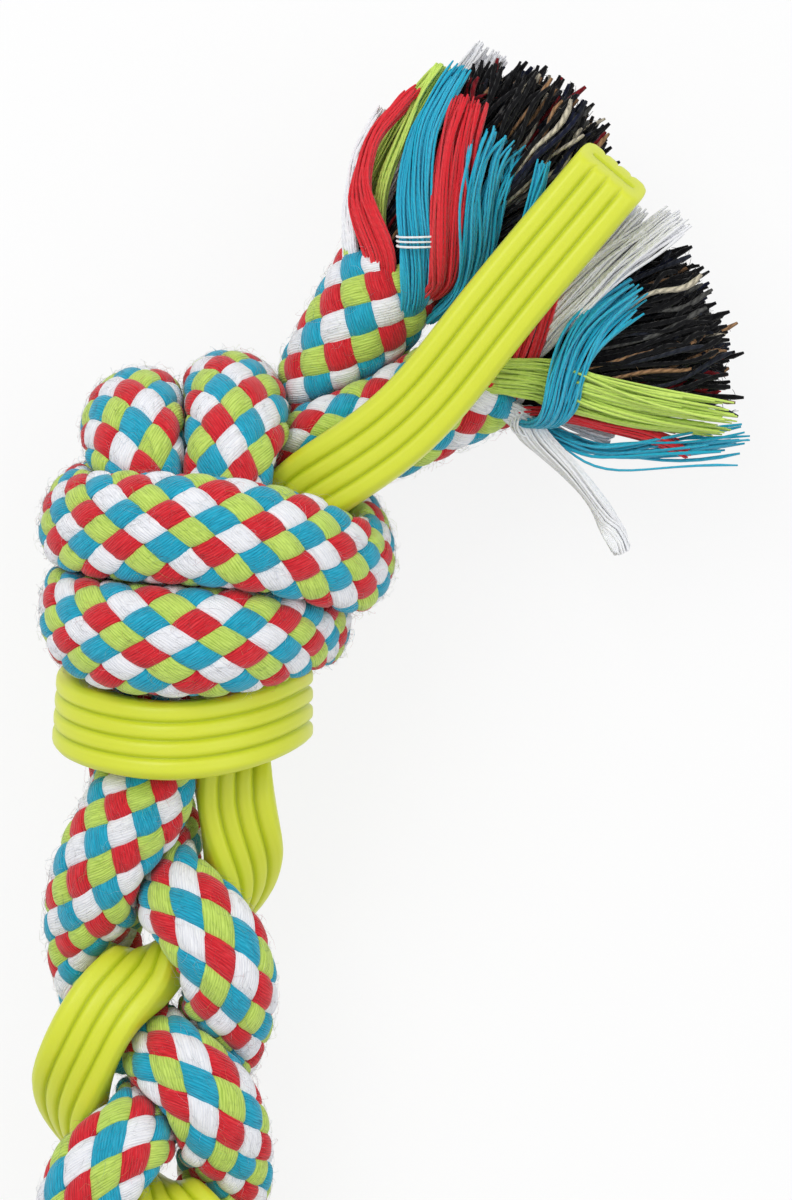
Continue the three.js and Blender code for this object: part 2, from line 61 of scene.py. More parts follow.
METRES = 0.001
TINY = 1e-9
JUST_SHORT = 1e-6
ACROSS = np.array([1.0, 0.0, 0.0])
UP = np.array([0.0, 0.0, 1.0])
STEEP = 0.8
LOG = logging.getLogger("rope_toy")


def linear(red: int, green: int, blue: int) -> Colour:
    """Turns a colour as a screen shows it, 0 to 255, into the linear values that shaders use.

    Args:
        red: the red part.
        green: the green part.
        blue: the blue part.

    Returns:
        The three linear values, 0 to 1.
    """
    def one(part: float) -> float:
        """Turns one part into its linear value."""
        return part / 12.92 if part <= 0.04045 else ((part + 0.055) / 1.055) ** 2.4
    return one(red / 255), one(green / 255), one(blue / 255)


def unit(vectors: Array) -> Array:
    """Scales vectors, held along the last axis, to a length of 1."""
    return vectors / np.maximum(np.linalg.norm(vectors, axis=-1, keepdims=True), TINY)


def dot(first: Array, second: Array) -> Array:
    """Gives the dot products of vectors held along the last axis, with that axis kept."""
    return np.sum(first * second, axis=-1, keepdims=True)


def run_of(line: Array) -> Array:
    """Gives the direction of a line at each of its points, from the points on both sides.

    Args:
        line: the line's points, in order.

    Returns:
        A unit direction for each point.
    """
    last = len(line) - 1
    index = np.arange(last + 1)
    return unit(line[np.minimum(index + 1, last)] - line[np.maximum(index - 1, 0)])


def reach_along(line: Array) -> Array:
    """Gives how far along a line each of its points lies."""
    steps = np.linalg.norm(np.diff(line, axis=0), axis=1)
    return np.concatenate([[0.0], np.cumsum(steps)])


def read_off(spots: Array, marks: Array, table: Array) -> Array:
    """Reads a table of places at spots between its marks.

    Args:
        spots: where to read it.
        marks: each row's own mark.
        table: the rows of places.

    Returns:
        A place for each spot.
    """
    return np.stack([np.interp(spots, marks, column) for column in table.T], axis=1)


def curve_through(points: Array, low: Array, share: Array) -> Array:
    """Gives places on the smooth curve through points.

    Args:
        points: the points, in order.
        low: the number of the point before each place.
        share: how far on to the next point each place is, 0 to 1, in a column.

    Returns:
        The places.
    """
    padded = np.concatenate([[points[0] * 2 - points[1]], points, [points[-1] * 2 - points[-2]]])
    p0, p1, p2, p3 = (padded[low + i] for i in range(4))
    return 0.5 * (2 * p1 + (p2 - p0) * share + (2 * p0 - 5 * p1 + 4 * p2 - p3) * share**2
                  + (3 * p1 - p0 - 3 * p2 + p3) * share**3)


# Shaders


class Value:
    """A number that varies over a surface: a socket that takes part in Python expressions."""

    def __init__(self, shader: "Shader", socket: bpy.types.NodeSocket) -> None:
        """Wraps a socket.

        Args:
            shader: the shader whose tree the socket is in.
            socket: the output socket that gives the number.
        """
        self.shader = shader
        self.socket = socket

    def maths(self, operation: str, *terms: "Value | float") -> "Value":
        """Adds one Math node.

        Args:
            operation: the node's operation.
            terms: what goes into it, in order.

        Returns:
            The number that comes out.
        """
        inputs = dict(enumerate(terms))
        return self.shader.node("ShaderNodeMath", {"operation": operation}, inputs).value("Value")

    def __add__(self, other: "Value | float") -> "Value":
        """Adds."""
        return self.maths("ADD", self, other)

    def __radd__(self, other: float) -> "Value":
        """Adds to a plain number."""
        return self.maths("ADD", other, self)

    def __sub__(self, other: "Value | float") -> "Value":
        """Subtracts."""
        return self.maths("SUBTRACT", self, other)

    def __rsub__(self, other: float) -> "Value":
        """Subtracts from a plain number."""
        return self.maths("SUBTRACT", other, self)

    def __mul__(self, other: "Value | float") -> "Value":
        """Multiplies."""
        return self.maths("MULTIPLY", self, other)

    def __rmul__(self, other: float) -> "Value":
        """Multiplies a plain number."""
        return self.maths("MULTIPLY", other, self)

    def __pow__(self, power: float) -> "Value":
        """Raises to a power."""
        return self.maths("POWER", self, power)

    def cosine(self) -> "Value":
        """Gives the cosine of the number, in radians."""
        return self.maths("COSINE", self)

    def clamped(self) -> "Value":
        """Keeps the number between 0 and 1."""
        return self.maths("MINIMUM", self.maths("MAXIMUM", self, 0.0), 1.0)

    def above(self, start: float, gain: float = 1.0) -> "Value":
        """Gives how far the number is above a start, times a gain, between 0 and 1."""
        return ((self - start) * gain).clamped()

    def below(self, start: float) -> "Value":
        """Gives how far the number is below a start, between 0 and 1."""
        return (start - self).clamped()

    def swing(self, depth: float) -> "Value":
        """Turns a pattern of 0 to 1 into one that swings about 0, as wide as the depth."""
        return (self - 0.5) * depth


class Built:
    """A node that has been added, with its outputs by name."""

    def __init__(self, shader: "Shader", node: bpy.types.Node) -> None:
        """Wraps a node.

        Args:
            shader: the shader whose tree the node is in.
            node: the node.
        """
        self.shader = shader
        self.node = node

    def value(self, name: str) -> Value:
        """Gives one of the node's outputs as a number."""
        return Value(self.shader, self.node.outputs[name])

    def link(self, name: str) -> bpy.types.NodeSocket:
        """Gives one of the node's outputs as a plain socket, for a colour, vector or shader."""
        return self.node.outputs[name]


Feed = Value | bpy.types.NodeSocket | float | tuple[float, ...]


class Shader:
    """A material's node tree, built one node at a time."""

    def __init__(self, name: str) -> None:
        """Starts a material with an empty tree.

        Args:
            name: the material's name.
        """
        self.material = bpy.data.materials.new(name)
        self.material.use_nodes = True
        self.tree = self.material.node_tree
        self.tree.nodes.clear()

    def node(self, kind: str, settings: dict[str, object] | None = None,
             inputs: dict[str | int, Feed] | None = None) -> Built:
        """Adds a node.

        Args:
            kind: the node's type.
            settings: its own settings, which are made first.
            inputs: the values or links of its sockets, by name or number.

        Returns:
            The node.
        """
        made = self.tree.nodes.new(kind)
        for key, setting in (settings or {}).items():
            setattr(made, key, setting)
        for key, feed in (inputs or {}).items():
            socket = made.inputs[key]
            if isinstance(feed, Value):
                self.tree.links.new(feed.socket, socket)
            elif isinstance(feed, bpy.types.NodeSocket):
                self.tree.links.new(feed, socket)
            else:
                socket.default_value = feed
        return Built(self, made)

    def attribute(self, name: str) -> Value:
        """Gives a number that the mesh carries on its points."""
        return self.node("ShaderNodeAttribute", {"attribute_name": name}).value("Fac")

    def attribute_colour(self, name: str) -> bpy.types.NodeSocket:
        """Gives a colour that the mesh carries on its points."""
        return self.node("ShaderNodeAttribute", {"attribute_name": name}).link("Color")

    def vector(self, x: Feed, y: Feed, z: Feed) -> bpy.types.NodeSocket:
        """Joins three numbers into a vector."""
        return self.node("ShaderNodeCombineXYZ", None, {"X": x, "Y": y, "Z": z}).link("Vector")

    def noise(self, at: bpy.types.NodeSocket, scale: float, detail: float = 2.0) -> Value:
        """Gives a soft random pattern.

        Args:
            at: the place vector that it is read at.
            scale: how fine it is.
            detail: how many finer layers lie on it.

        Returns:
            The pattern, about 0.5 in the mean.
        """
        inputs = {"Vector": at, "Scale": scale, "Detail": detail}
        return self.node("ShaderNodeTexNoise", None, inputs).value("Fac")

    def mixed(self, factor: Feed, first: Feed, second: Feed) -> bpy.types.NodeSocket:
        """Mixes two colours.

        Args:
            factor: the share of the second.
            first: a colour or a link to one.
            second: a colour or a link to one.

        Returns:
            A link to the mixed colour.
        """
        def full(colour: Feed) -> Feed:
            """Adds the fourth number that a colour's socket wants."""
            return (*colour, 1.0) if isinstance(colour, tuple) else colour
        inputs = {0: factor, 6: full(first), 7: full(second)}
        return self.node("ShaderNodeMix", {"data_type": "RGBA"}, inputs).node.outputs[2]

    def bump(self, height: Value, depth: float) -> bpy.types.NodeSocket:
        """Turns a height pattern into normals.

        Args:
            height: the pattern, 0 to 1.
            depth: how deep it is, in millimetres.

        Returns:
            A link to the normals.
        """
        inputs = {"Height": height, "Distance": depth * METRES, "Strength": 1.0}
        return self.node("ShaderNodeBump", None, inputs).link("Normal")

    def surface(self, inputs: dict[str | int, Feed]) -> bpy.types.Material:
        """Ends the tree with one principled surface.

        Args:
            inputs: the values or links of the surface's sockets.

        Returns:
            The finished material.
        """
        made = self.node("ShaderNodeBsdfPrincipled", None, inputs)
        self.node("ShaderNodeOutputMaterial", None, {"Surface": made.link("BSDF")})
        return self.material


# Finishes


@dataclass(frozen=True)
class Grain:
    """A random pattern along yarns: how fine it is across and along, and how far yarns differ in it."""

    across: float
    along: float
    tone: float
    detail: float = 2.0
    lean: float = 0.0


@dataclass
class YarnSpace:
    """Where each point lies on its yarn, as the mesh carries it, and its yarn's own tone."""

    shader: Shader
    across: Value = field(init=False)
    along: Value = field(init=False)
    tone: Value = field(init=False)

    def __post_init__(self) -> None:
        """Reads what the mesh carries."""
        self.across, self.along, self.tone = (
            self.shader.attribute(name) for name in ("across", "along", "tone"))

    def grain(self, grain: Grain) -> Value:
        """Gives a random pattern that runs with the yarns.

        Args:
            grain: how fine it is.

        Returns:
            The pattern, about 0.5 in the mean.
        """
        along = self.along * grain.along
        if grain.lean:
            along = along + self.across * grain.lean
        at = self.shader.vector(self.across * grain.across, along, self.tone * grain.tone)
        return self.shader.noise(at, 1.0, grain.detail)

    def twist(self, starts: float, per_length: float) -> Value:
        """Gives the winding of a twisted yarn.

        Args:
            starts: how many plies it has.
            per_length: how far they turn for each millimetre, in radians.

        Returns:
            The pattern, 1 on top of a ply and 0 between two.
        """
        return (self.across * starts + self.along * per_length).cosine() * 0.5 + 0.5


@dataclass(frozen=True)
class Lightening:
    """How a paler colour follows from a yarn's own: times a gain, with some white added."""

    gain: float
    white: float

    def of(self, colour: Colour) -> Colour:
        """Gives the paler colour, no part of it over 1."""
        return tuple(min(1.0, part * self.gain + self.white) for part in colour)


@dataclass(frozen=True)
class YarnFinish:
    """Soft cotton yarns of one colour, lying side by side in a carrier or loose in a tassel."""

    name: str
    colour: Colour
    # shade: the colour that painted shade, and the yarns' random darker tone, mix towards.
    shade: Colour
    roughness: float = 0.92
    specular: float = 0.2
    sheen: float = 0.3
    sheen_roughness: float = 0.45
    yarn_width: float = 0.37
    wander: Grain = Grain(1.4, 0.26, 40.0)
    wander_depth: float = 0.6
    fibre: Grain = Grain(9.0, 0.9, 30.0, 3.0, 0.8)
    patch: Grain = Grain(1.6, 0.5, 17.0)
    # Painted shade in the creases between yarns: where it fades out, and how sharp and how dark it is.
    groove_fade: Grain = Grain(2.2, 0.4, 70.0)
    groove_fade_start: float = 0.2
    groove_fade_gain: float = 1.4
    groove_power: float = 2.5
    groove_shade_strength: float = 0.9
    fibre_start: float = 0.6
    fibre_dark: float = 0.55
    # Painted shade at the dives and along the band's edges.
    sunk_shade: float = 0.8
    patch_dark: float = 0.35
    lit_start: float = 0.45
    lit_gain: float = 2.2
    band_lit: Lightening = Lightening(1.12, 0.06)
    # A paler colour for the loose fibres: painted light on the fuzz.
    fluff_painted_light: Lightening = Lightening(0.82, 0.11)
    line_height: float = 0.65
    fibre_height: float = 0.45
    band_depth: float = 0.11
    plies: float = 2.0
    ply_turn: float = 5.2
    ply_fibre: Grain = Grain(1.5, 2.5, 60.0, 3.0)
    # Painted shade in the creases between the plies.
    ply_shade_strength: float = 0.2
    ply_fibre_start: float = 0.55
    ply_fibre_dark: float = 0.4
    tone_start: float = 0.6
    tone_dark: float = 0.3
    ply_lit: Lightening = Lightening(1.2, 0.04)
    ply_height: float = 0.7
    ply_fibre_height: float = 0.4
    ply_depth: float = 0.06

    def surface(self, shader: Shader, colour: Feed, normal: Feed) -> bpy.types.Material:
        """Ends a finish with the cotton's own dull surface.

        Args:
            shader: the finish's shader.
            colour: its colour.
            normal: its normals.

        Returns:
            The material.
        """
        return shader.surface({
            "Base Color": colour,
            "Roughness": self.roughness,
            "Specular IOR Level": self.specular,
            "Sheen Weight": self.sheen,
            "Sheen Roughness": self.sheen_roughness,
            "Normal": normal,
        })

    def braided(self) -> bpy.types.Material:
        """Makes the finish of a carrier, whose yarns are lines along its band.

        The mesh's "lift" is 0 where a carrier dives, 1 on top and 2 on its loose fibres. Below 1 it darkens
        the colour as painted shade; at 2 it gives the fibres a paler colour, a painted light on the fuzz.

        Returns:
            The material.
        """
        shader = Shader(f"{self.name}_braided")
        yarn = YarnSpace(shader)
        lift = shader.attribute("lift")
        wandered = yarn.across + yarn.grain(self.wander).swing(self.wander_depth)
        lines = (wandered * (math.tau / self.yarn_width)).cosine() * 0.5 + 0.5
        fibre = yarn.grain(self.fibre)
        # Painted shade between the yarns: the colour darkens in the creases between them, and a random
        # pattern fades that shade out in patches.
        fading = yarn.grain(self.groove_fade).above(self.groove_fade_start, self.groove_fade_gain)
        groove_shade = ((1.0 - lines) ** self.groove_power) * fading * self.groove_shade_strength
        dark = groove_shade + fibre.below(self.fibre_start) * self.fibre_dark
        # Painted shade where the carrier dives under its neighbours and along its edges: where lift is
        # below 1 the colour darkens.
        dark = dark + (lift.below(1.0) ** 2.0) * self.sunk_shade
        dark = (dark + yarn.grain(self.patch).swing(self.patch_dark)).clamped()
        lit = shader.mixed(fibre.above(self.lit_start, self.lit_gain), self.colour,
                           self.band_lit.of(self.colour))
        yarns = shader.mixed(dark, lit, self.shade)
        # Painted light: the loose fibres, where lift is 2, take a paler colour that stands for light caught
        # by the fuzz.
        colour = shader.mixed(lift.above(1.0), yarns, self.fluff_painted_light.of(self.colour))
        height = lines * self.line_height + fibre * self.fibre_height
        return self.surface(shader, colour, shader.bump(height, self.band_depth))

    def loose(self) -> bpy.types.Material:
        """Makes the finish of loose yarns, each a twist of fine fibres.

        Returns:
            The material.
        """
        shader = Shader(f"{self.name}_loose")
        yarn = YarnSpace(shader)
        twist = yarn.twist(self.plies, self.ply_turn)
        fibre = yarn.grain(self.ply_fibre)
        # Painted shade in the creases between the plies; the fibre and tone terms are the yarns' own random
        # tone.
        ply_crease_shade = ((1.0 - twist) ** 2.0) * self.ply_shade_strength
        dark = ply_crease_shade + fibre.below(self.ply_fibre_start) * self.ply_fibre_dark
        dark = (dark + (yarn.tone - self.tone_start) * self.tone_dark).clamped()
        lit = shader.mixed(yarn.tone, self.colour, self.ply_lit.of(self.colour))
        height = twist * self.ply_height + fibre * self.ply_fibre_height
        return self.surface(shader, shader.mixed(dark, lit, self.shade),
                            shader.bump(height, self.ply_depth))


@dataclass(frozen=True)
class CoreFinish:
    """Thick twisted yarns of mixed waste colours, each yarn with a colour of its own."""

    name: str = "core_yarn"
    # Painted shade in the creases between plies, and the yarns' random dark flecks, mix towards this
    # colour.
    ply_shade_and_fleck: Colour = (0.004, 0.004, 0.005)
    roughness: float = 0.95
    specular: float = 0.15
    sheen: float = 0.12
    sheen_roughness: float = 0.5
    plies: float = 2.0
    ply_turn: float = 4.2
    # Painted shade in the creases between the plies.
    ply_shade_strength: float = 0.45
    ply_height: float = 0.8
    fleck: Grain = Grain(1.2, 2.0, 50.0, 3.0)
    fleck_start: float = 0.62
    fleck_dark: float = 0.8
    fleck_height: float = 0.5
    depth: float = 0.16

    def material(self) -> bpy.types.Material:
        """Makes the finish.

        Returns:
            The material.
        """
        shader = Shader(self.name)
        yarn = YarnSpace(shader)
        own = shader.attribute_colour("yarn_colour")
        twist = yarn.twist(self.plies, self.ply_turn)
        fleck = yarn.grain(self.fleck)
        # Painted shade in the creases between the plies; the flecks are the yarns' own random dark spots.
        ply_crease_shade = ((1.0 - twist) ** 2.0) * self.ply_shade_strength
        dark = ply_crease_shade + fleck.below(self.fleck_start) * self.fleck_dark
        return shader.surface({
            "Base Color": shader.mixed(dark.clamped(), own, self.ply_shade_and_fleck),
            "Roughness": self.roughness,
            "Specular IOR Level": self.specular,
            "Sheen Weight": self.sheen,
            "Sheen Roughness": self.sheen_roughness,
            "Normal": shader.bump(twist * self.ply_height + fleck * self.fleck_height, self.depth),
        })


@dataclass(frozen=True)
class LiningFinish:
    """The dark core that shows through the pinholes of the braid."""

    name: str = "core_lining"
    dark: Colour = linear(24, 24, 30)
    light: Colour = linear(58, 60, 70)
    fleck_scale: float = 1400.0
    fleck_depth: float = 0.2
    roughness: float = 0.97
    specular: float = 0.1

    def material(self) -> bpy.types.Material:
        """Makes the finish.

        Returns:
            The material.
        """
        shader = Shader(self.name)
        at = shader.node("ShaderNodeTexCoord").link("Object")
        fleck = shader.noise(at, self.fleck_scale, 3.0)
        return shader.surface({
            "Base Color": shader.mixed(fleck, self.dark, self.light),
            "Roughness": self.roughness,
            "Specular IOR Level": self.specular,
            "Normal": shader.bump(fleck, self.fleck_depth),
        })


@dataclass(frozen=True)
class RubberFinish:
    """Soft moulded rubber with a satin skin; shade is painted as a deeper colour where it is grooved."""

    name: str = "ribbed_rubber"
    crest: Colour = linear(216, 224, 60)
    # The groove colour is painted shade, mixed in where the strap stands lower.
    groove_shade: Colour = linear(186, 202, 8)
    roughness: float = 0.4
    specular: float = 0.42
    coat: float = 0.08
    coat_roughness: float = 0.3
    glow: float = 0.22
    glow_colour: Colour = (1.0, 0.9, 0.15)
    glow_depth: float = 0.002
    cloud_scale: float = 70.0
    grain_scale: float = 2600.0
    drawn_across: float = 3.0
    drawn_along: float = 0.12
    # How deep the painted shade goes where the strap stands lowest.
    groove_shade_strength: float = 0.95
    cloud_dark: float = 0.35
    drawn_dark: float = 0.25
    cloud_rough: float = 0.16
    grain_rough: float = 0.08
    skin_depth: float = 0.035

    def material(self) -> bpy.types.Material:
        """Makes the finish.

        Returns:
            The material.
        """
        shader = Shader(self.name)
        across, along, lift = (shader.attribute(name) for name in ("across", "along", "lift"))
        at = shader.node("ShaderNodeTexCoord").link("Object")
        cloud = shader.noise(at, self.cloud_scale)
        grain = shader.noise(at, self.grain_scale, 3.0)
        drawn = shader.noise(shader.vector(across * self.drawn_across, along * self.drawn_along, 0.0), 1.0)
        # Painted shade: the colour deepens towards the groove colour where lift is low, in the grooves, on
        # the sides and in the cut ends; the cloud and drawn patterns vary it at random.
        depth = (1.0 - lift) * self.groove_shade_strength + cloud.swing(self.cloud_dark)
        depth = (depth + drawn.swing(self.drawn_dark)).clamped()
        rough = self.roughness + cloud.swing(self.cloud_rough) + grain.swing(self.grain_rough)
        return shader.surface({
            "Base Color": shader.mixed(depth, self.crest, self.groove_shade),
            "Roughness": rough,
            "Specular IOR Level": self.specular,
            "Coat Weight": self.coat,
            "Coat Roughness": self.coat_roughness,
            "Subsurface Weight": self.glow,
            "Subsurface Radius": self.glow_colour,
            "Subsurface Scale": self.glow_depth,
            "Normal": shader.bump(grain * 0.5 + drawn * 0.5, self.skin_depth),
        })


class Dye(Enum):
    """The colours of the cotton yarn."""

    # The second colour of each dye is its shade colour: painted shade and the yarns' random darker tone mix
    # towards it.
    RED = YarnFinish("red_yarn", linear(222, 38, 50), linear(136, 12, 26))
    LIME = YarnFinish("lime_yarn", linear(200, 226, 106), linear(128, 166, 44))
    BLUE = YarnFinish("blue_yarn", linear(30, 172, 204), linear(8, 98, 134))
    WHITE = YarnFinish("white_yarn", linear(245, 246, 251), linear(214, 217, 228))


# Routes of the strands


@dataclass(frozen=True)
class Fit:
    """How a rope is squeezed where it lies: shares of its radius, and how firmly it keeps its place."""

    across: float
    through: float
    hold: float


class Lie(Enum):
    """Where a stretch of rope lies."""

    FREE = Fit(1.0, 1.0, 0.08)
    PLAIT = Fit(0.92, 0.86, 0.05)
    INNER = Fit(0.8, 0.8, 0.0)
    BUMP = Fit(1.0, 0.85, 0.2)
    BAND = Fit(1.0, 0.74, 0.3)


Stop = tuple[Lie, float, float, float]
FacedStop = tuple[Lie, float, float, float, float, float, float]

ROPE_A_ROUTE: list[Stop] = [
    (Lie.INNER, 0.12, -2.5, 1.0), (Lie.INNER, 0.7, -0.75, 1.3), (Lie.INNER, 1.15, 1.0, 1.4),
    (Lie.BUMP, 1.45, 2.4, 1.6), (Lie.BUMP, 1.55, 3.5, 0.6), (Lie.BUMP, 1.55, 3.5, -1.2),
    (Lie.BAND, 1.85, 2.75, -2.75), (Lie.BAND, 2.75, 1.75, -2.5), (Lie.BAND, 3.32, 1.4, -1.0),
    (Lie.BAND, 3.37, 1.2, 0.5), (Lie.BAND, 3.0, 1.0, 2.0), (Lie.BAND, 2.1, 1.1, 2.8),
    (Lie.BAND, 1.0, 1.2, 3.0), (Lie.BAND, -0.25, 1.28, 2.75), (Lie.BAND, -0.98, 1.38, 1.8),
    (Lie.BAND, -1.28, 1.5, 0.38), (Lie.INNER, -1.0, 1.7, -1.0), (Lie.INNER, 0.25, 1.9, -1.6),
    (Lie.INNER, 1.5, 2.1, -1.5), (Lie.FREE, 2.4, 2.9, -0.9), (Lie.FREE, 3.3, 4.2, -0.25),
    (Lie.FREE, 4.38, 6.15, 0.0),
]
ROPE_B_ROUTE: list[Stop] = [
    (Lie.INNER, -0.5, -2.5, -0.25), (Lie.INNER, -0.35, -0.75, 0.75), (Lie.INNER, -0.25, 1.0, 1.4),
    (Lie.BUMP, -0.45, 2.3, 1.5), (Lie.BUMP, -0.42, 3.3, 0.5), (Lie.BUMP, -0.35, 3.3, -1.25),
    (Lie.BAND, -0.12, 2.25, -2.75), (Lie.BAND, 0.75, 0.9, -3.0), (Lie.BAND, 1.9, -0.12, -2.5),
    (Lie.BAND, 2.55, -0.44, -1.1), (Lie.BAND, 2.63, -0.44, 0.4), (Lie.BAND, 2.35, -0.5, 1.6),
    (Lie.BAND, 1.75, -0.7, 2.5), (Lie.BAND, 0.75, -0.78, 2.95), (Lie.BAND, -0.38, -0.65, 2.7),
    (Lie.BAND, -1.14, -0.4, 1.75), (Lie.BAND, -1.38, -0.06, 0.4), (Lie.INNER, -1.0, 0.5, -0.75),
    (Lie.INNER, 0.12, 1.0, -0.4), (Lie.INNER, 1.5, 1.4, -0.12), (Lie.INNER, 2.5, 2.3, -0.3),
    (Lie.FREE, 3.6, 3.1, -0.1), (Lie.FREE, 4.75, 3.6, 0.0), (Lie.FREE, 6.28, 4.2, 0.0),
]
STRAP_ROUTE: list[FacedStop] = [
    (Lie.INNER, 1.3, -2.5, 0.4, 1.0, 0.0, 1.0), (Lie.INNER, 1.06, -1.0, 0.0, 0.3, 0.0, 1.0),
    (Lie.INNER, 0.75, 0.12, -0.4, 0.0, 0.5, 1.0), (Lie.INNER, 0.62, 0.56, -1.12, 0.0, 1.0, 0.0),
    (Lie.INNER, 0.56, -0.12, -1.94, 0.0, 0.0, -1.0), (Lie.INNER, 0.75, -1.25, -2.3, 0.0, 0.0, -1.0),
    (Lie.BAND, 1.6, -1.9, -2.0, 0.5, 0.0, -1.0), (Lie.BAND, 2.4, -1.6, -0.75, 1.0, 0.0, -0.3),
    (Lie.BAND, 2.46, -1.75, 0.4, 1.0, 0.0, 0.2), (Lie.BAND, 2.0, -2.15, 1.5, 0.8, 0.0, 0.6),
    (Lie.BAND, 1.25, -2.55, 2.2, 0.3, 0.0, 1.0), (Lie.BAND, 0.38, -2.62, 2.3, 0.0, 0.0, 1.0),
    (Lie.BAND, -0.5, -2.35, 1.94, -0.5, 0.0, 0.9), (Lie.BAND, -1.14, -1.95, 1.06, -0.9, 0.0, 0.4),
    (Lie.BAND, -1.32, -1.7, -0.12, -1.0, 0.0, 0.0), (Lie.INNER, -0.88, -1.5, -1.12, -0.6, 0.0, -0.8),
    (Lie.INNER, 0.25, -0.8, -1.12, 0.0, 0.0, -1.0), (Lie.INNER, 1.5, 0.12, -0.62, 0.0, 0.0, -1.0),
    (Lie.INNER, 2.6, 0.9, 0.5, 0.0, -0.5, -1.0), (Lie.BAND, 3.5, 1.95, 1.45, 0.0, 0.0, -1.0),
    (Lie.FREE, 5.8, 4.75, 2.1, 0.0, 0.0, -1.0), (Lie.FREE, 8.2, 7.62, 2.1, 0.0, 0.0, -1.0),
]

PHASES = {"rope_a": 0.32, "rope_b": -0.36, "strap": -0.085}
KNOT_HEART: Place = (0.75, 0.5, 0.0)


@dataclass
class Strand:
    """One strand as a string of beads, from its cut end at the far knot to the one at the near knot."""

    name: str
    place: Array
    face: Array
    across: Array
    through: Array
    hold: Array
    corner: float
    firm: float
    target: Array = field(init=False)
    side: Array = field(init=False)

    def __post_init__(self) -> None:
        """Keeps the places laid out as targets and squares the sections."""
        self.target = self.place.copy()
        self.square()

    def square(self) -> None:
        """Finds which way each section lies: across the strand, square to its run."""
        self.side = unit(np.cross(run_of(self.place), self.face))


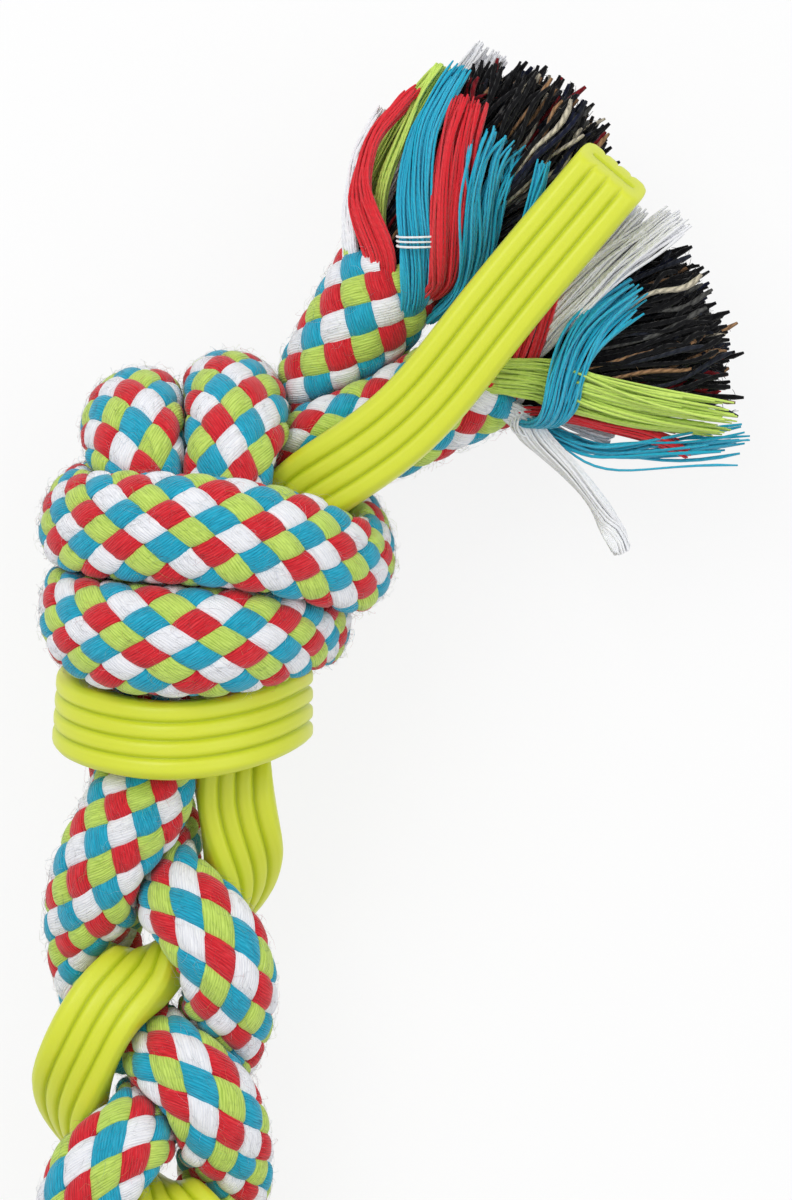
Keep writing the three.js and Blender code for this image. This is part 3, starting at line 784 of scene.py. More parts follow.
@dataclass
class Layout:
    """Lays the strands out in the plait and both knots, and lets them settle against each other."""

    rope_radius: float = 8.0
    strap_width: float = 11.4
    strap_thickness: float = 6.2
    strap_corner: float = 2.0
    gap: float = 0.4
    rope_firmness: float = 0.62
    period: float = 68.0
    periods: float = 1.5
    near_middle: float = 100.8
    rope_swing: float = 6.2
    strap_swing: float = 12.4
    depth: float = 8.0
    face_lag: float = 0.13
    knot_reach: float = 30.0
    bead_spacing: float = 3.2
    rounds: int = 500
    last_rounds: int = 200
    neighbours: int = 7
    tension: float = 0.12
    stiffness: float = 0.5
    evening: float = 0.6
    end_hold: float = 0.1
    push: float = 0.8
    look_every: int = 10
    look_margin: float = 6.0
    strands: dict[str, Strand] = field(init=False)

    def __post_init__(self) -> None:
        """Works out the plait's ends, strings the beads and settles them."""
        self.plait_top = self.near_middle - self.knot_reach
        self.plait_bottom = self.plait_top - self.periods * self.period
        self.far_middle = self.plait_bottom - self.knot_reach
        routes = {"rope_a": ROPE_A_ROUTE, "rope_b": ROPE_B_ROUTE, "strap": STRAP_ROUTE}
        self.strands = {name: self.strung(name, route) for name, route in routes.items()}
        self.settle()

    def in_plait(self, name: str, height: float) -> tuple[Array, Array]:
        """Gives a strand's place and facing in the plait at a height along the toy.

        Args:
            name: the strand.
            height: how far along the toy.

        Returns:
            The place and the way the section faces.
        """
        phase = PHASES[name]
        swing = self.strap_swing if name == "strap" else self.rope_swing
        turn = math.tau * (phase - height / self.period)
        late = turn - math.tau * self.face_lag
        place = np.array([swing * math.cos(turn), height, -self.depth * math.sin(2 * turn)])
        if name == "strap":
            return place, np.array([math.cos(late) ** 2, 0.0, -math.sin(late)])
        return place, np.array([0.0, 0.0, 1.0])

    def in_knot(self, route: list, middle: float, side: float) -> list[tuple[Array, Array, Fit]]:
        """Gives the listed stretch in one knot.

        Args:
            route: the stops, in rope radii from the knot's middle.
            middle: where the knot's middle is along the toy.
            side: 1 for the near knot, -1 for the far one, which is turned half round.

        Returns:
            Each stop's place, facing and fit.
        """
        stops = []
        for lie, x, y, z, *face in route:
            at = np.array([x, y, z])
            outward = (at - KNOT_HEART) * (1.0, 0.5, 1.0)
            facing = np.array(face) if face else outward
            place = at * self.rope_radius * (side, side, 1.0) + (0.0, middle, 0.0)
            stops.append((place, facing * (side, side, 1.0), lie.value))
        return stops

    def strung(self, name: str, route: list) -> Strand:
        """Strings beads at an even step along a strand's whole route.

        Args:
            name: the strand.
            route: its stops in a knot.

        Returns:
            The strand, not yet settled.
        """
        steps = round((self.plait_top - self.plait_bottom) / self.bead_spacing)
        stops = self.in_knot(route, self.far_middle, -1.0)[::-1]
        for step in range(steps + 1):
            height = self.plait_bottom + (self.plait_top - self.plait_bottom) * step / steps
            stops.append((*self.in_plait(name, height), Lie.PLAIT.value))
        stops += self.in_knot(route, self.near_middle, 1.0)
        places = np.array([place for place, _, _ in stops])
        faces = np.array([face for _, face, _ in stops])
        fits = np.array([(fit.across, fit.through, fit.hold) for _, _, fit in stops])
        reach = reach_along(places)
        along = np.linspace(0.0, reach[-1], round(reach[-1] / self.bead_spacing) + 1)
        piece = np.clip(np.searchsorted(reach[:-1], along, side="left"), 1, len(reach) - 1)
        part = ((along - reach[piece - 1]) / (reach[piece] - reach[piece - 1]))[:, None]
        lean = np.where(dot(faces[piece - 1], faces[piece]) < 0, -1.0, 1.0)
        face = unit(faces[piece - 1] + (faces[piece] * lean - faces[piece - 1]) * part)
        fit = fits[piece - 1] + (fits[piece] - fits[piece - 1]) * part
        place = places[piece - 1] + (places[piece] - places[piece - 1]) * part
        if name == "strap":
            across, through = (np.full(len(along), size / 2)
                               for size in (self.strap_width, self.strap_thickness))
            return Strand(name, place, face, across, through, fit[:, 2], self.strap_corner, 1.0)
        across, through = fit[:, 0] * self.rope_radius, fit[:, 1] * self.rope_radius
        return Strand(name, place, face, across, through, fit[:, 2], 0.0, self.rope_firmness)

    def draw_taut(self, strand: Strand, tension: float, holding: float) -> None:
        """Evens out a strand's beads, bends it fairly, draws it taut and towards its own route.

        Args:
            strand: the strand.
            tension: how much of each bend is drawn out.
            holding: how firmly beads are held to their route.
        """
        before = strand.place.copy()
        last = len(before) - 1
        inner = np.arange(1, last)
        run = unit(before[2:] - before[:-2])
        near = (before[:-2] + before[2:]) / 2 - before[1:-1]
        far = (before[np.maximum(inner - 2, 0)] + before[np.minimum(inner + 2, last)]) / 2 - before[1:-1]
        fair = near * 4 / 3 - far / 3
        along = dot(near, run)
        fair = fair - run * dot(fair, run)
        near = near - run * along
        bend = np.where((inner > 1) & (inner < last - 1), self.stiffness, 0.0)[:, None]
        moved = before[1:-1] + run * along * self.evening + near * tension + fair * bend
        pull = strand.hold[1:-1, None] * holding
        strand.place[1:-1] = moved + (strand.target[1:-1] - moved) * pull
        for end, following, after in ((0, 1, 2), (last, last - 1, last - 2)):
            straight = before[following] * 2 - before[after]
            at = before[end] + (straight - before[end]) * self.stiffness
            strand.place[end] = at + (strand.target[end] - at) * self.end_hold

    def settle(self) -> None:
        """Lets the strands find their places against each other, and parts them fully at the end."""
        strands = list(self.strands.values())
        counts = [len(strand.place) for strand in strands]
        owner = np.repeat(np.arange(len(strands)), counts)
        order = np.concatenate([np.arange(count) for count in counts])
        first, second = np.triu_indices(len(owner), 1)
        apart_enough = (owner[first] != owner[second]) | (order[second] - order[first] >= self.neighbours)
        first, second = first[apart_enough], second[apart_enough]
        pairs = (first, second)
        for turn in range(self.rounds + self.last_rounds):
            easing = 1.0 if turn < self.rounds else 0.0
            for strand in strands:
                self.draw_taut(strand, self.tension * easing, easing)
                strand.square()
            place = np.concatenate([strand.place for strand in strands])
            if turn % self.look_every == 0:
                apart = np.linalg.norm(place[second] - place[first], axis=1)
                near = apart < 2 * self.rope_radius + self.look_margin
                pairs = (first[near], second[near])
            place = self.pushed_apart(strands, place, pairs)
            for strand, part in zip(strands, np.split(place, np.cumsum(counts)[:-1])):
                strand.place = part
        for strand in strands:
            strand.square()

    def pushed_apart(self, strands: list[Strand], place: Array, pairs: tuple[Array, Array]) -> Array:
        """Pushes beads apart where two sections are closer than the gap they keep.

        Args:
            strands: the strands.
            place: the places of all their beads.
            pairs: the two beads of each pair that may touch.

        Returns:
            The new places.
        """
        side = np.concatenate([strand.side for strand in strands])
        across = np.concatenate([strand.across for strand in strands])
        through = np.concatenate([strand.through for strand in strands])
        corner = np.concatenate([np.full(len(s.place), s.corner) for s in strands])
        firm = np.concatenate([np.full(len(s.place), s.firm) for s in strands])
        first, second = pairs
        line = place[second] - place[first]
        apart = np.linalg.norm(line, axis=1)
        line = line / np.maximum(apart, TINY)[:, None]
        reach = [reach_towards(side[at], across[at], through[at], corner[at], line) * firm[at]
                 for at in pairs]
        shift = (reach[0] + reach[1] + self.gap - apart) / 2
        touching = (shift > 0) & (apart <= 2 * self.rope_radius + self.gap)
        push = np.zeros_like(place)
        touches = np.zeros(len(place))
        step = line[touching] * shift[touching][:, None]
        np.add.at(push, first[touching], -step)
        np.add.at(push, second[touching], step)
        np.add.at(touches, first[touching], 1)
        np.add.at(touches, second[touching], 1)
        return place + push * (self.push / np.sqrt(np.maximum(touches, 1)))[:, None]


def reach_towards(side: Array, across: Array, through: Array, corner: Array, line: Array) -> Array:
    """Gives how far sections reach towards unit directions.

    Args:
        side: the way across each section.
        across: half of each section's width.
        through: half of each section's thickness.
        corner: the strap's corner radius, or 0 for a rope.
        line: the directions.

    Returns:
        The reach of each.
    """
    lean = np.abs(np.sum(side * line, axis=-1))
    rest = np.sqrt(np.maximum(0.0, 1.0 - lean * lean))
    bar = corner + (across - corner) * lean + (through - corner) * rest
    oval = np.sqrt(through**2 + (across**2 - through**2) * lean * lean)
    return np.where(corner > 0, bar, oval)


@dataclass
class Run:
    """A settled strand's middle line at an even fine step, with its sections' axes."""

    strand: Strand
    step: float
    fine: int = 12
    place: Array = field(init=False)
    run: Array = field(init=False)
    side: Array = field(init=False)
    across: Array = field(init=False)
    through: Array = field(init=False)
    bead: Array = field(init=False)
    length: float = field(init=False)

    def __post_init__(self) -> None:
        """Draws a smooth curve through the beads and takes stations along it."""
        beads = self.strand.place
        low = np.repeat(np.arange(len(beads) - 1), self.fine)
        share = np.tile(np.arange(self.fine) / self.fine, len(beads) - 1)[:, None]
        line = np.concatenate([curve_through(beads, low, share), beads[-1:]])
        mark = np.arange(len(line)) / self.fine
        reach = reach_along(line)
        self.length = float(reach[-1])
        count = round(self.length / self.step)
        self.step = self.length / count
        along = np.linspace(0.0, self.length, count + 1)
        self.place = read_off(along, reach, line)
        self.bead = np.interp(along, reach, mark)
        self.run = run_of(self.place)
        side = self.strand.side.copy()
        for i in range(1, len(side)):
            if np.dot(side[i], side[i - 1]) < 0:
                side[i] = -side[i]
        spots = np.arange(len(beads))
        mixed = read_off(self.bead, spots, side)
        self.side = unit(mixed - self.run * dot(mixed, self.run))
        self.across = np.interp(self.bead, spots, self.strand.across)
        self.through = np.interp(self.bead, spots, self.strand.through)

    def steady_frame(self) -> tuple[Array, Array]:
        """Carries a frame along the line without letting it turn about it.

        Returns:
            The frame's side and up at each station.
        """
        sides = [self.side[0]]
        for run in self.run[1:]:
            side = sides[-1] - run * np.dot(sides[-1], run)
            sides.append(side / np.linalg.norm(side))
        side = np.array(sides)
        return side, np.cross(self.run, side)


# Meshes


def make_object(name: str, places: Array, faces: Array, attributes: dict[str, Array],
                material: bpy.types.Material, shift: Place) -> bpy.types.Object:
    """Makes a smooth mesh object of four-cornered faces, with no point under the floor.

    Args:
        name: the object's name.
        places: its points, in millimetres.
        faces: four point numbers for each face.
        attributes: numbers, or colours, that its points carry.
        material: its finish.
        shift: how far the toy's own middle lies from the frame's origin, in millimetres.

    Returns:
        The object, which rides on the toy's body.
    """
    mesh = bpy.data.meshes.new(name)
    moved = (places + np.array(shift)) * METRES
    moved[:, 2] = np.maximum(moved[:, 2], 0.0)
    mesh.vertices.add(len(moved))
    mesh.vertices.foreach_set("co", moved.astype(np.float32).ravel())
    mesh.loops.add(faces.size)
    mesh.loops.foreach_set("vertex_index", faces.astype(np.int32).ravel())
    mesh.polygons.add(len(faces))
    mesh.polygons.foreach_set("loop_start", np.arange(0, faces.size, 4, dtype=np.int32))
    for key, numbers in attributes.items():
        kind, slot = ("FLOAT", "value") if numbers.ndim == 1 else ("FLOAT_COLOR", "color")
        made = mesh.attributes.new(key, kind, "POINT")
        made.data.foreach_set(slot, numbers.astype(np.float32).ravel())
    mesh.materials.append(material)
    mesh.update(calc_edges=True)
    mesh.validate()
    mesh.shade_smooth()
    piece = bpy.data.objects.new(name, mesh)
    bpy.context.scene.collection.objects.link(piece)
    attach(piece, "root")
    return piece


def sheet_faces(rows: int, columns: int, closed: bool) -> Array:
    """Gives the faces of a grid of points.

    Args:
        rows: how many rows of points.
        columns: how many points in a row.
        closed: whether each row's last point meets its first.

    Returns:
        Four point numbers for each face.
    """
    across = np.arange(columns if closed else columns - 1)
    row, column = np.meshgrid(np.arange(rows - 1), across, indexing="ij")
    following = (column + 1) % columns
    corners = [row * columns + column, row * columns + following,
               (row + 1) * columns + following, (row + 1) * columns + column]
    return np.stack(corners, axis=-1).reshape(-1, 4)


def grids(count: int, rows: int, columns: int, closed: bool) -> Array:
    """Gives the faces of several like grids, one after the other."""
    one = sheet_faces(rows, columns, closed)
    return (one[None] + (np.arange(count) * rows * columns)[:, None, None]).reshape(-1, 4)


# The braided ropes


CARRIER_DYES = {(-1, 0): Dye.BLUE, (-1, 1): Dye.RED, (1, 0): Dye.LIME, (1, 1): Dye.WHITE}


@dataclass
class BraidedRope:
    """A rope of sixteen carriers, eight each way, woven one over one round a dark core."""

    run: Run
    shift: Place
    radius: float = 8.0
    rope_gap: float = 0.9
    least_facing: float = 0.05
    smoothings: int = 3
    carriers: int = 8
    braid_angle: float = math.radians(49.0)
    band_width: float = 4.25
    evenness: float = 0.4
    crest: float = 0.46
    trough: float = 1.0
    crown: float = 0.6
    crest_power: float = 0.55
    trough_power: float = 0.6
    crown_power: float = 3.4
    sink: float = 0.12
    sway: float = 0.09
    sway_points: int = 90
    end_draw: float = 1.5
    end_reach: float = 3.0
    # Painted shade towards the carrier's edges.
    edge_shade: float = 0.25
    lift_gain: float = 1.9
    columns: int = 9
    steps: int = 6
    turns: int = 72
    firm_beads: int = 7
    fibres: int = 1300
    fibre_points: int = 4
    fibre_radius: float = 0.02
    fibre_lengths: tuple[float, float] = (0.6, 2.8)
    fibre_heights: tuple[float, float] = (0.3, 1.1)
    fibre_curl: float = 0.9
    fibre_arch: float = 2.2
    fibre_taper: float = 0.6
    fibre_root: float = 0.25
    fibre_span: float = 0.45
    fibre_inset: float = 1.0
    least_over: float = 0.1
    standing_share: float = 0.4
    lying_height: float = 0.25
    core_depth: float = 1.75
    core_sides: int = 24
    core_inset: float = 0.3
    core_step: float = 2.0
    seed: int = 5
    centre: Array = field(init=False)
    side: Array = field(init=False)
    up: Array = field(init=False)
    reach: Array = field(init=False)
    skew: Array = field(init=False)

    def prepare(self, strands: dict[str, Strand]) -> None:
        """Works out the rope's pressed surface: its reach from the middle line at each station and turn.

        Args:
            strands: all the strands.
        """
        self.centre = self.run.place
        self.side, self.up = self.run.steady_frame()
        turn = np.linspace(0.0, math.tau, self.turns, endpoint=False)
        spokes = self.side[:, None] * np.cos(turn)[:, None] + self.up[:, None] * np.sin(turn)[:, None]
        lean = np.sum(spokes * self.run.side[:, None], axis=-1)
        reach = 1 / np.sqrt((lean / self.run.across[:, None]) ** 2
                            + (1 - lean**2) / self.run.through[:, None] ** 2)
        for strand in strands.values():
            order = np.arange(len(strand.place))
            for i, place in enumerate(self.centre):
                line = strand.place - place
                apart = np.linalg.norm(line, axis=1)
                near = apart < 4 * self.radius
                if strand is self.run.strand:
                    near &= np.abs(order - self.run.bead[i]) >= self.firm_beads
                if not near.any():
                    continue
                toward = line[near] / apart[near, None]
                own = reach_towards(self.run.side[i], self.run.across[i], self.run.through[i], 0.0, toward)
                theirs = reach_towards(strand.side[near], strand.across[near], strand.through[near],
                                       strand.corner, toward)
                if strand.corner:
                    limit = apart[near] - theirs - self.rope_gap
                else:
                    limit = apart[near] * own / (own + theirs) - self.rope_gap / 2
                pressing = limit < own
                facing = spokes[i] @ toward[pressing].T
                allowed = np.where(facing > self.least_facing,
                                   limit[pressing] / np.maximum(facing, self.least_facing), np.inf)
                if allowed.size:
                    reach[i] = np.minimum(reach[i], allowed.min(axis=1))
        for _ in range(self.smoothings):
            reach = (np.roll(reach, 1, 1) + 2 * reach + np.roll(reach, -1, 1)) / 4
            padded = np.concatenate([reach[:1], reach, reach[-1:]])
            reach = (padded[:-2] + 2 * reach + padded[2:]) / 4
        self.reach, self.skew = self.spread_evenly(reach, turn)

    def spread_evenly(self, reach: Array, turn: Array) -> tuple[Array, Array]:
        """Spreads the carriers part of the way from even by angle to even by length round each section.

        Args:
            reach: the reach at each station and turn.
            turn: the turns.

        Returns:
            The reach at each even share of the way round, and how far its own turn is from that share.
        """
        around = np.append(turn, math.tau)
        reaches, skews = [], []
        for row in reach:
            ring = np.stack([row * np.cos(turn), row * np.sin(turn)], axis=1)
            steps = np.linalg.norm(np.roll(ring, -1, axis=0) - ring, axis=1)
            share = np.concatenate([[0.0], np.cumsum(steps)]) / steps.sum() * math.tau
            own = turn + (np.interp(turn, share, around) - turn) * self.evenness
            skews.append(own - turn)
            reaches.append(np.interp(own, around, np.append(row, row[0])))
        return np.array(reaches), np.array(skews)

    def on_surface(self, along: Array, turn: Array, lift: Array) -> Array:
        """Gives points on the rope.

        Args:
            along: how far along the rope.
            turn: how far round it, in radians.
            lift: how far out from the pressed surface.

        Returns:
            The points.
        """
        last = len(self.centre) - 1
        spot = np.clip(along / self.run.step, 0.0, last - JUST_SHORT)
        low = spot.astype(int)
        part = (spot - low)[..., None]
        centre, side, up = (rows[low] * (1 - part) + rows[low + 1] * part
                            for rows in (self.centre, self.side, self.up))
        share = np.mod(turn / math.tau, 1.0) * self.turns
        left = share.astype(int) % self.turns
        right = (left + 1) % self.turns
        across = share - np.floor(share)
        part = part[..., 0]
        reach, skew = ((table[low, left] * (1 - across) + table[low, right] * across) * (1 - part)
                       + (table[low + 1, left] * (1 - across) + table[low + 1, right] * across) * part
                       for table in (self.reach, self.skew))
        own = (turn + skew)[..., None]
        spoke = unit(side * np.cos(own) + up * np.sin(own))
        beyond = np.clip(along, None, 0.0) + np.clip(along - last * self.run.step, 0.0, None)
        return centre + spoke * (reach + lift)[..., None] + self.run.run[low] * beyond[..., None]

    def carrier(self, hand: int, number: int,
                rng: np.random.Generator) -> tuple[Array, dict[str, Array]]:
        """Makes one carrier's band of yarns.

        Args:
            hand: 1 for a carrier that winds one way, -1 for the other.
            number: which of the eight it is.
            rng: the source of its small irregularities.

        Returns:
            Its points, in rows along it, and what they carry.
        """
        climb = math.tan(self.braid_angle) / self.radius
        crossing = math.pi / (self.carriers * climb)
        rows = round(self.run.length / crossing * self.steps)
        middle = np.linspace(0.0, self.run.length, rows + 1)
        sway = np.interp(middle, np.linspace(0.0, self.run.length, self.sway_points),
                         rng.normal(0.0, self.sway, self.sway_points))
        across = np.linspace(-0.5, 0.5, self.columns)[None, :] * self.band_width + sway[:, None]
        angle = math.tau * number / self.carriers + hand * climb * middle[:, None]
        along = middle[:, None] - hand * across * math.sin(self.braid_angle)
        turn = angle + across * math.cos(self.braid_angle) / self.radius
        order = turn + hand * climb * along
        wave = hand * np.cos(self.carriers / 2 * order - math.pi * number)
        share = (across - sway[:, None]) / self.band_width * 2
        over = np.abs(wave) ** self.crest_power * self.crest
        under = -np.abs(wave) ** self.trough_power * self.trough
        level = np.where(wave > 0, over, under)
        inside = np.minimum(along, self.run.length - along)
        lift = level - self.crown * np.abs(share) ** self.crown_power - self.sink
        lift -= self.end_draw * np.clip(1.0 - inside / self.end_reach, 0.0, 1.0) ** 2
        places = self.on_surface(along, turn, lift)
        # Painted shade: lift also drops towards the band's edges, so the shader darkens the colour there as
        # well as at the dives.
        height = np.clip(0.5 + 0.5 * wave - self.edge_shade * np.abs(share) ** 3, 0.0, 1.0)
        full = np.ones_like(along)
        carried = {
            "across": across - sway[:, None],
            "along": middle[:, None] * full / math.cos(self.braid_angle),
            "tone": full * rng.random(),
            "lift": np.clip(height * self.lift_gain, 0.0, 1.0),
        }
        return places, carried

    def fuzz(self, hand: int, number: int, tone: float,
             rng: np.random.Generator) -> tuple[Array, dict[str, Array]]:
        """Makes the fine loose fibres that stand off one carrier where it lies on top.

        Args:
            hand: 1 for a carrier that winds one way, -1 for the other.
            number: which of the eight it is.
            tone: the carrier's own tone.
            rng: the source of their scatter.

        Returns:
            Their points, as rings in order, and what they carry.
        """
        climb = math.tan(self.braid_angle) / self.radius
        tries = self.fibres * 2
        middle = rng.uniform(self.fibre_inset, self.run.length - self.fibre_inset, tries)
        angle = math.tau * number / self.carriers + hand * climb * middle
        wave = hand * np.cos(self.carriers / 2 * (angle + hand * climb * middle) - math.pi * number)
        top = np.nonzero(wave > self.least_over)[0][:self.fibres]
        middle, angle = middle[top, None], angle[top, None]
        share = np.linspace(0.0, 1.0, self.fibre_points)[None, :]
        across = rng.uniform(-self.fibre_span, self.fibre_span, middle.shape) * self.band_width
        heading = rng.uniform(0.0, math.tau, middle.shape)
        length = rng.uniform(*self.fibre_lengths, middle.shape)
        curl = rng.normal(0.0, self.fibre_curl, middle.shape) * share**2
        stand = np.where(rng.random(middle.shape) < self.standing_share, 1.0, self.lying_height)
        along = (middle - hand * across * math.sin(self.braid_angle)
                 + length * share * np.cos(heading + curl))
        turn = (angle + across * math.cos(self.braid_angle) / self.radius
                + length * share * np.sin(heading + curl) / self.radius)
        rise = rng.uniform(*self.fibre_heights, middle.shape) * stand
        lift = self.crest - self.fibre_root + rise * np.sin(share * self.fibre_arch)
        paths = self.on_surface(along, turn, lift)
        radii = np.broadcast_to(self.fibre_radius * (1.0 - self.fibre_taper * share), along.shape)
        places, carried = tubes(paths, radii, 3)
        carried["tone"] = np.full(len(places), tone)
        # Lift 2 marks the loose fibres for their paler colour, a painted light on the fuzz.
        carried["lift"] = np.full(len(places), 2.0)
        return places, carried

    def build(self, materials: dict[Dye, bpy.types.Material],
              lining: bpy.types.Material) -> list[bpy.types.Object]:
        """Makes the rope's carriers with their fuzz, grouped by colour, and the core under them.

        Args:
            materials: the braided finish of each colour.
            lining: the core's finish.

        Returns:
            The pieces.
        """
        rng = np.random.default_rng(self.seed)
        name = self.run.strand.name
        pieces = []
        for (hand, odd), dye in CARRIER_DYES.items():
            numbers = range(odd, self.carriers, 2)
            bands = [self.carrier(hand, number, rng) for number in numbers]
            tones = [extra["tone"].flat[0] for _, extra in bands]
            hairs = [self.fuzz(hand, number, tone, rng) for number, tone in zip(numbers, tones)]
            rows, columns = bands[0][0].shape[:2]
            both = [*bands, *hairs]
            places = np.concatenate([made.reshape(-1, 3) for made, _ in both])
            carried = {key: np.concatenate([extra[key].ravel() for _, extra in both])
                       for key in bands[0][1]}
            count = sum(len(made) for made, _ in hairs) // (self.fibre_points * 3)
            hair_faces = grids(count, self.fibre_points, 3, True) + len(bands) * rows * columns
            faces = np.concatenate([grids(len(bands), rows, columns, False), hair_faces])
            piece = make_object(f"{name}_{dye.name.lower()}_carriers", places, faces, carried,
                                materials[dye], self.shift)
            pieces.append(piece)
        pieces.append(self.lining(lining))
        return pieces

    def lining(self, material: bpy.types.Material) -> bpy.types.Object:
        """Makes the dark core just under the carriers.

        Args:
            material: its finish.

        Returns:
            The piece.
        """
        turn = np.linspace(0.0, math.tau, self.core_sides, endpoint=False)
        along = np.linspace(self.core_inset, self.run.length - self.core_inset,
                            round(self.run.length / self.core_step))
        along, turn = np.meshgrid(along, turn, indexing="ij")
        rings = self.on_surface(along, turn, np.full_like(turn, -self.core_depth))
        closed = [np.broadcast_to(ring.mean(axis=0), (1, *ring.shape)) for ring in (rings[0], rings[-1])]
        rings = np.concatenate([closed[0], rings, closed[1]])
        faces = sheet_faces(*rings.shape[:2], True)
        piece = make_object(f"{self.run.strand.name}_core", rings.reshape(-1, 3), faces, {},
                            material, self.shift)
        return piece


# The strap


@dataclass(frozen=True)
class EndStep:
    """One row of a cut end: shares of the section's size, how far out, and its stand for the painted shade.
    """

    wide: float
    thick: float
    out: float
    lift: float


# The last number of each row is its stand: low values, on the end face and in the slit, paint shade; above
# 1, on the rounded rim, the plain crest colour is kept, a slightly paler rim, a painted highlight.
END_STEPS = (
    EndStep(1.0, 1.0, -0.15, 1.0), EndStep(0.985, 0.97, 0.25, 1.25), EndStep(0.95, 0.9, 0.42, 1.5),
    EndStep(0.87, 0.74, 0.5, 1.2), EndStep(0.78, 0.5, 0.5, 0.9), EndStep(0.7, 0.26, 0.48, 0.85),
    EndStep(0.66, 0.12, 0.4, 0.5), EndStep(0.62, 0.09, -0.6, 0.05), EndStep(0.5, 0.05, -1.6, 0.0),
)


@dataclass
class RibbedStrap:
    """The moulded strap: flat ribs on both broad faces, narrow grooves, and slanting cut ends."""

    run: Run
    shift: Place
    width: float = 11.4
    thickness: float = 6.2
    ribs: int = 4
    rib_depth: float = 0.72
    rib_power: float = 3.6
    rib_points: int = 13
    edge: float = 0.6
    edge_drop: float = 0.55
    edge_points: int = 9
    edge_lift: float = 0.75
    side_lift: float = 0.85
    slant: float = 0.55

    def outline(self) -> tuple[Array, Array]:
        """Draws the strap's section.

        Returns:
            The points round it, and how far each stands out of the grooves, 0 to 1,
            which sets its painted shade.
        """
        half = self.width / 2
        crest = self.thickness / 2
        low = crest - self.edge_drop
        rib_width = (self.width - 2 * self.edge) / self.ribs
        points, lifts = [], []
        for rib in range(self.ribs):
            middle = half - self.edge - rib_width * (rib + 0.5)
            for spot in np.linspace(-1.0, 1.0, self.rib_points)[:-1]:
                sink = abs(spot) ** self.rib_power
                outer = (rib == 0 and spot < 0) or (rib == self.ribs - 1 and spot > 0)
                depth = self.edge_drop if outer else self.rib_depth
                points.append((middle - spot * rib_width / 2, crest - depth * sink))
                lifts.append(1.0 - sink * ((1.0 - self.edge_lift) if outer else 1.0))
        # The rounded sides stand lower than the crests, which paints shade on them.
        points.append((self.edge - half, low))
        lifts.append(self.edge_lift)
        for turn in np.linspace(0.0, math.pi, self.edge_points)[1:-1]:
            points.append((self.edge - half - self.edge * math.sin(turn), low * math.cos(turn)))
            lifts.append(self.side_lift)
        upper, level = np.array(points), np.array(lifts)
        return np.concatenate([upper, -upper]), np.concatenate([level, level])

    def build(self, material: bpy.types.Material) -> bpy.types.Object:
        """Makes the strap.

        Args:
            material: its rubber.

        Returns:
            The piece.
        """
        outline, level = self.outline()
        up = np.cross(self.run.run, self.run.side)
        rings = (self.run.place[:, None] + self.run.side[:, None] * outline[:, :1]
                 + up[:, None] * outline[:, 1:])
        along = np.linspace(0.0, self.run.length, len(rings))
        inset = self.slant * self.thickness
        bare = (along > inset) & (along < self.run.length - inset)
        near, near_level = self.cut_end(outline, 0, -1.0, up)
        far, far_level = self.cut_end(outline, -1, 1.0, up)
        levels = np.broadcast_to(level, (bare.sum(), len(level)))
        marks = [np.full(len(near), along[0]), along[bare], np.full(len(far), along[-1])]
        rings = np.concatenate([near[::-1], rings[bare], far])
        carried = {
            "across": np.broadcast_to(outline[:, 0], rings.shape[:2]).ravel(),
            "along": np.repeat(np.concatenate(marks), len(level)),
            "lift": np.concatenate([near_level[::-1], levels, far_level]).ravel(),
        }
        piece = make_object("ribbed_strap", rings.reshape(-1, 3),
                            sheet_faces(*rings.shape[:2], True), carried, material, self.shift)
        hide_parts("strap")
        return piece

    def cut_end(self, outline: Array, end: int, out: float, up: Array) -> tuple[Array, Array]:
        """Closes a cut end with a soft edge, a slanting face and the slit that runs into it.

        Args:
            outline: the section.
            end: 0 for the first station, -1 for the last.
            out: which way the end faces along the run.
            up: each station's way through the strap.

        Returns:
            Rows of points from the rim to the middle, and their stand out of the grooves,
            which sets their painted shade.
        """
        slant = math.copysign(self.slant, up[end][2])
        cap = []
        for step in END_STEPS:
            flat = outline * (step.wide, step.thick)
            forward = (step.out - slant * flat[:, 1:]) * out
            cap.append(self.run.place[end] + self.run.side[end] * flat[:, :1] + up[end] * flat[:, 1:]
                       + self.run.run[end] * forward)
        lifts = np.array([step.lift for step in END_STEPS])
        return np.array(cap), np.repeat(lifts[:, None], len(outline), axis=1)


# The tassels


@dataclass(frozen=True)
class Bundle:
    """One bundle of loosened carrier yarns, by places of its middle: along, to the left and up.

    A pressed bundle is a flat ribbon with a rounded end. The others are cut ragged.
    """

    dye: Dye
    path: tuple[Place, ...]
    widths: Place = (2.2, 2.4, 2.6)
    yarns: int = 38
    thick: float = 0.6
    ragged: float = 1.0
    pressed: bool = False


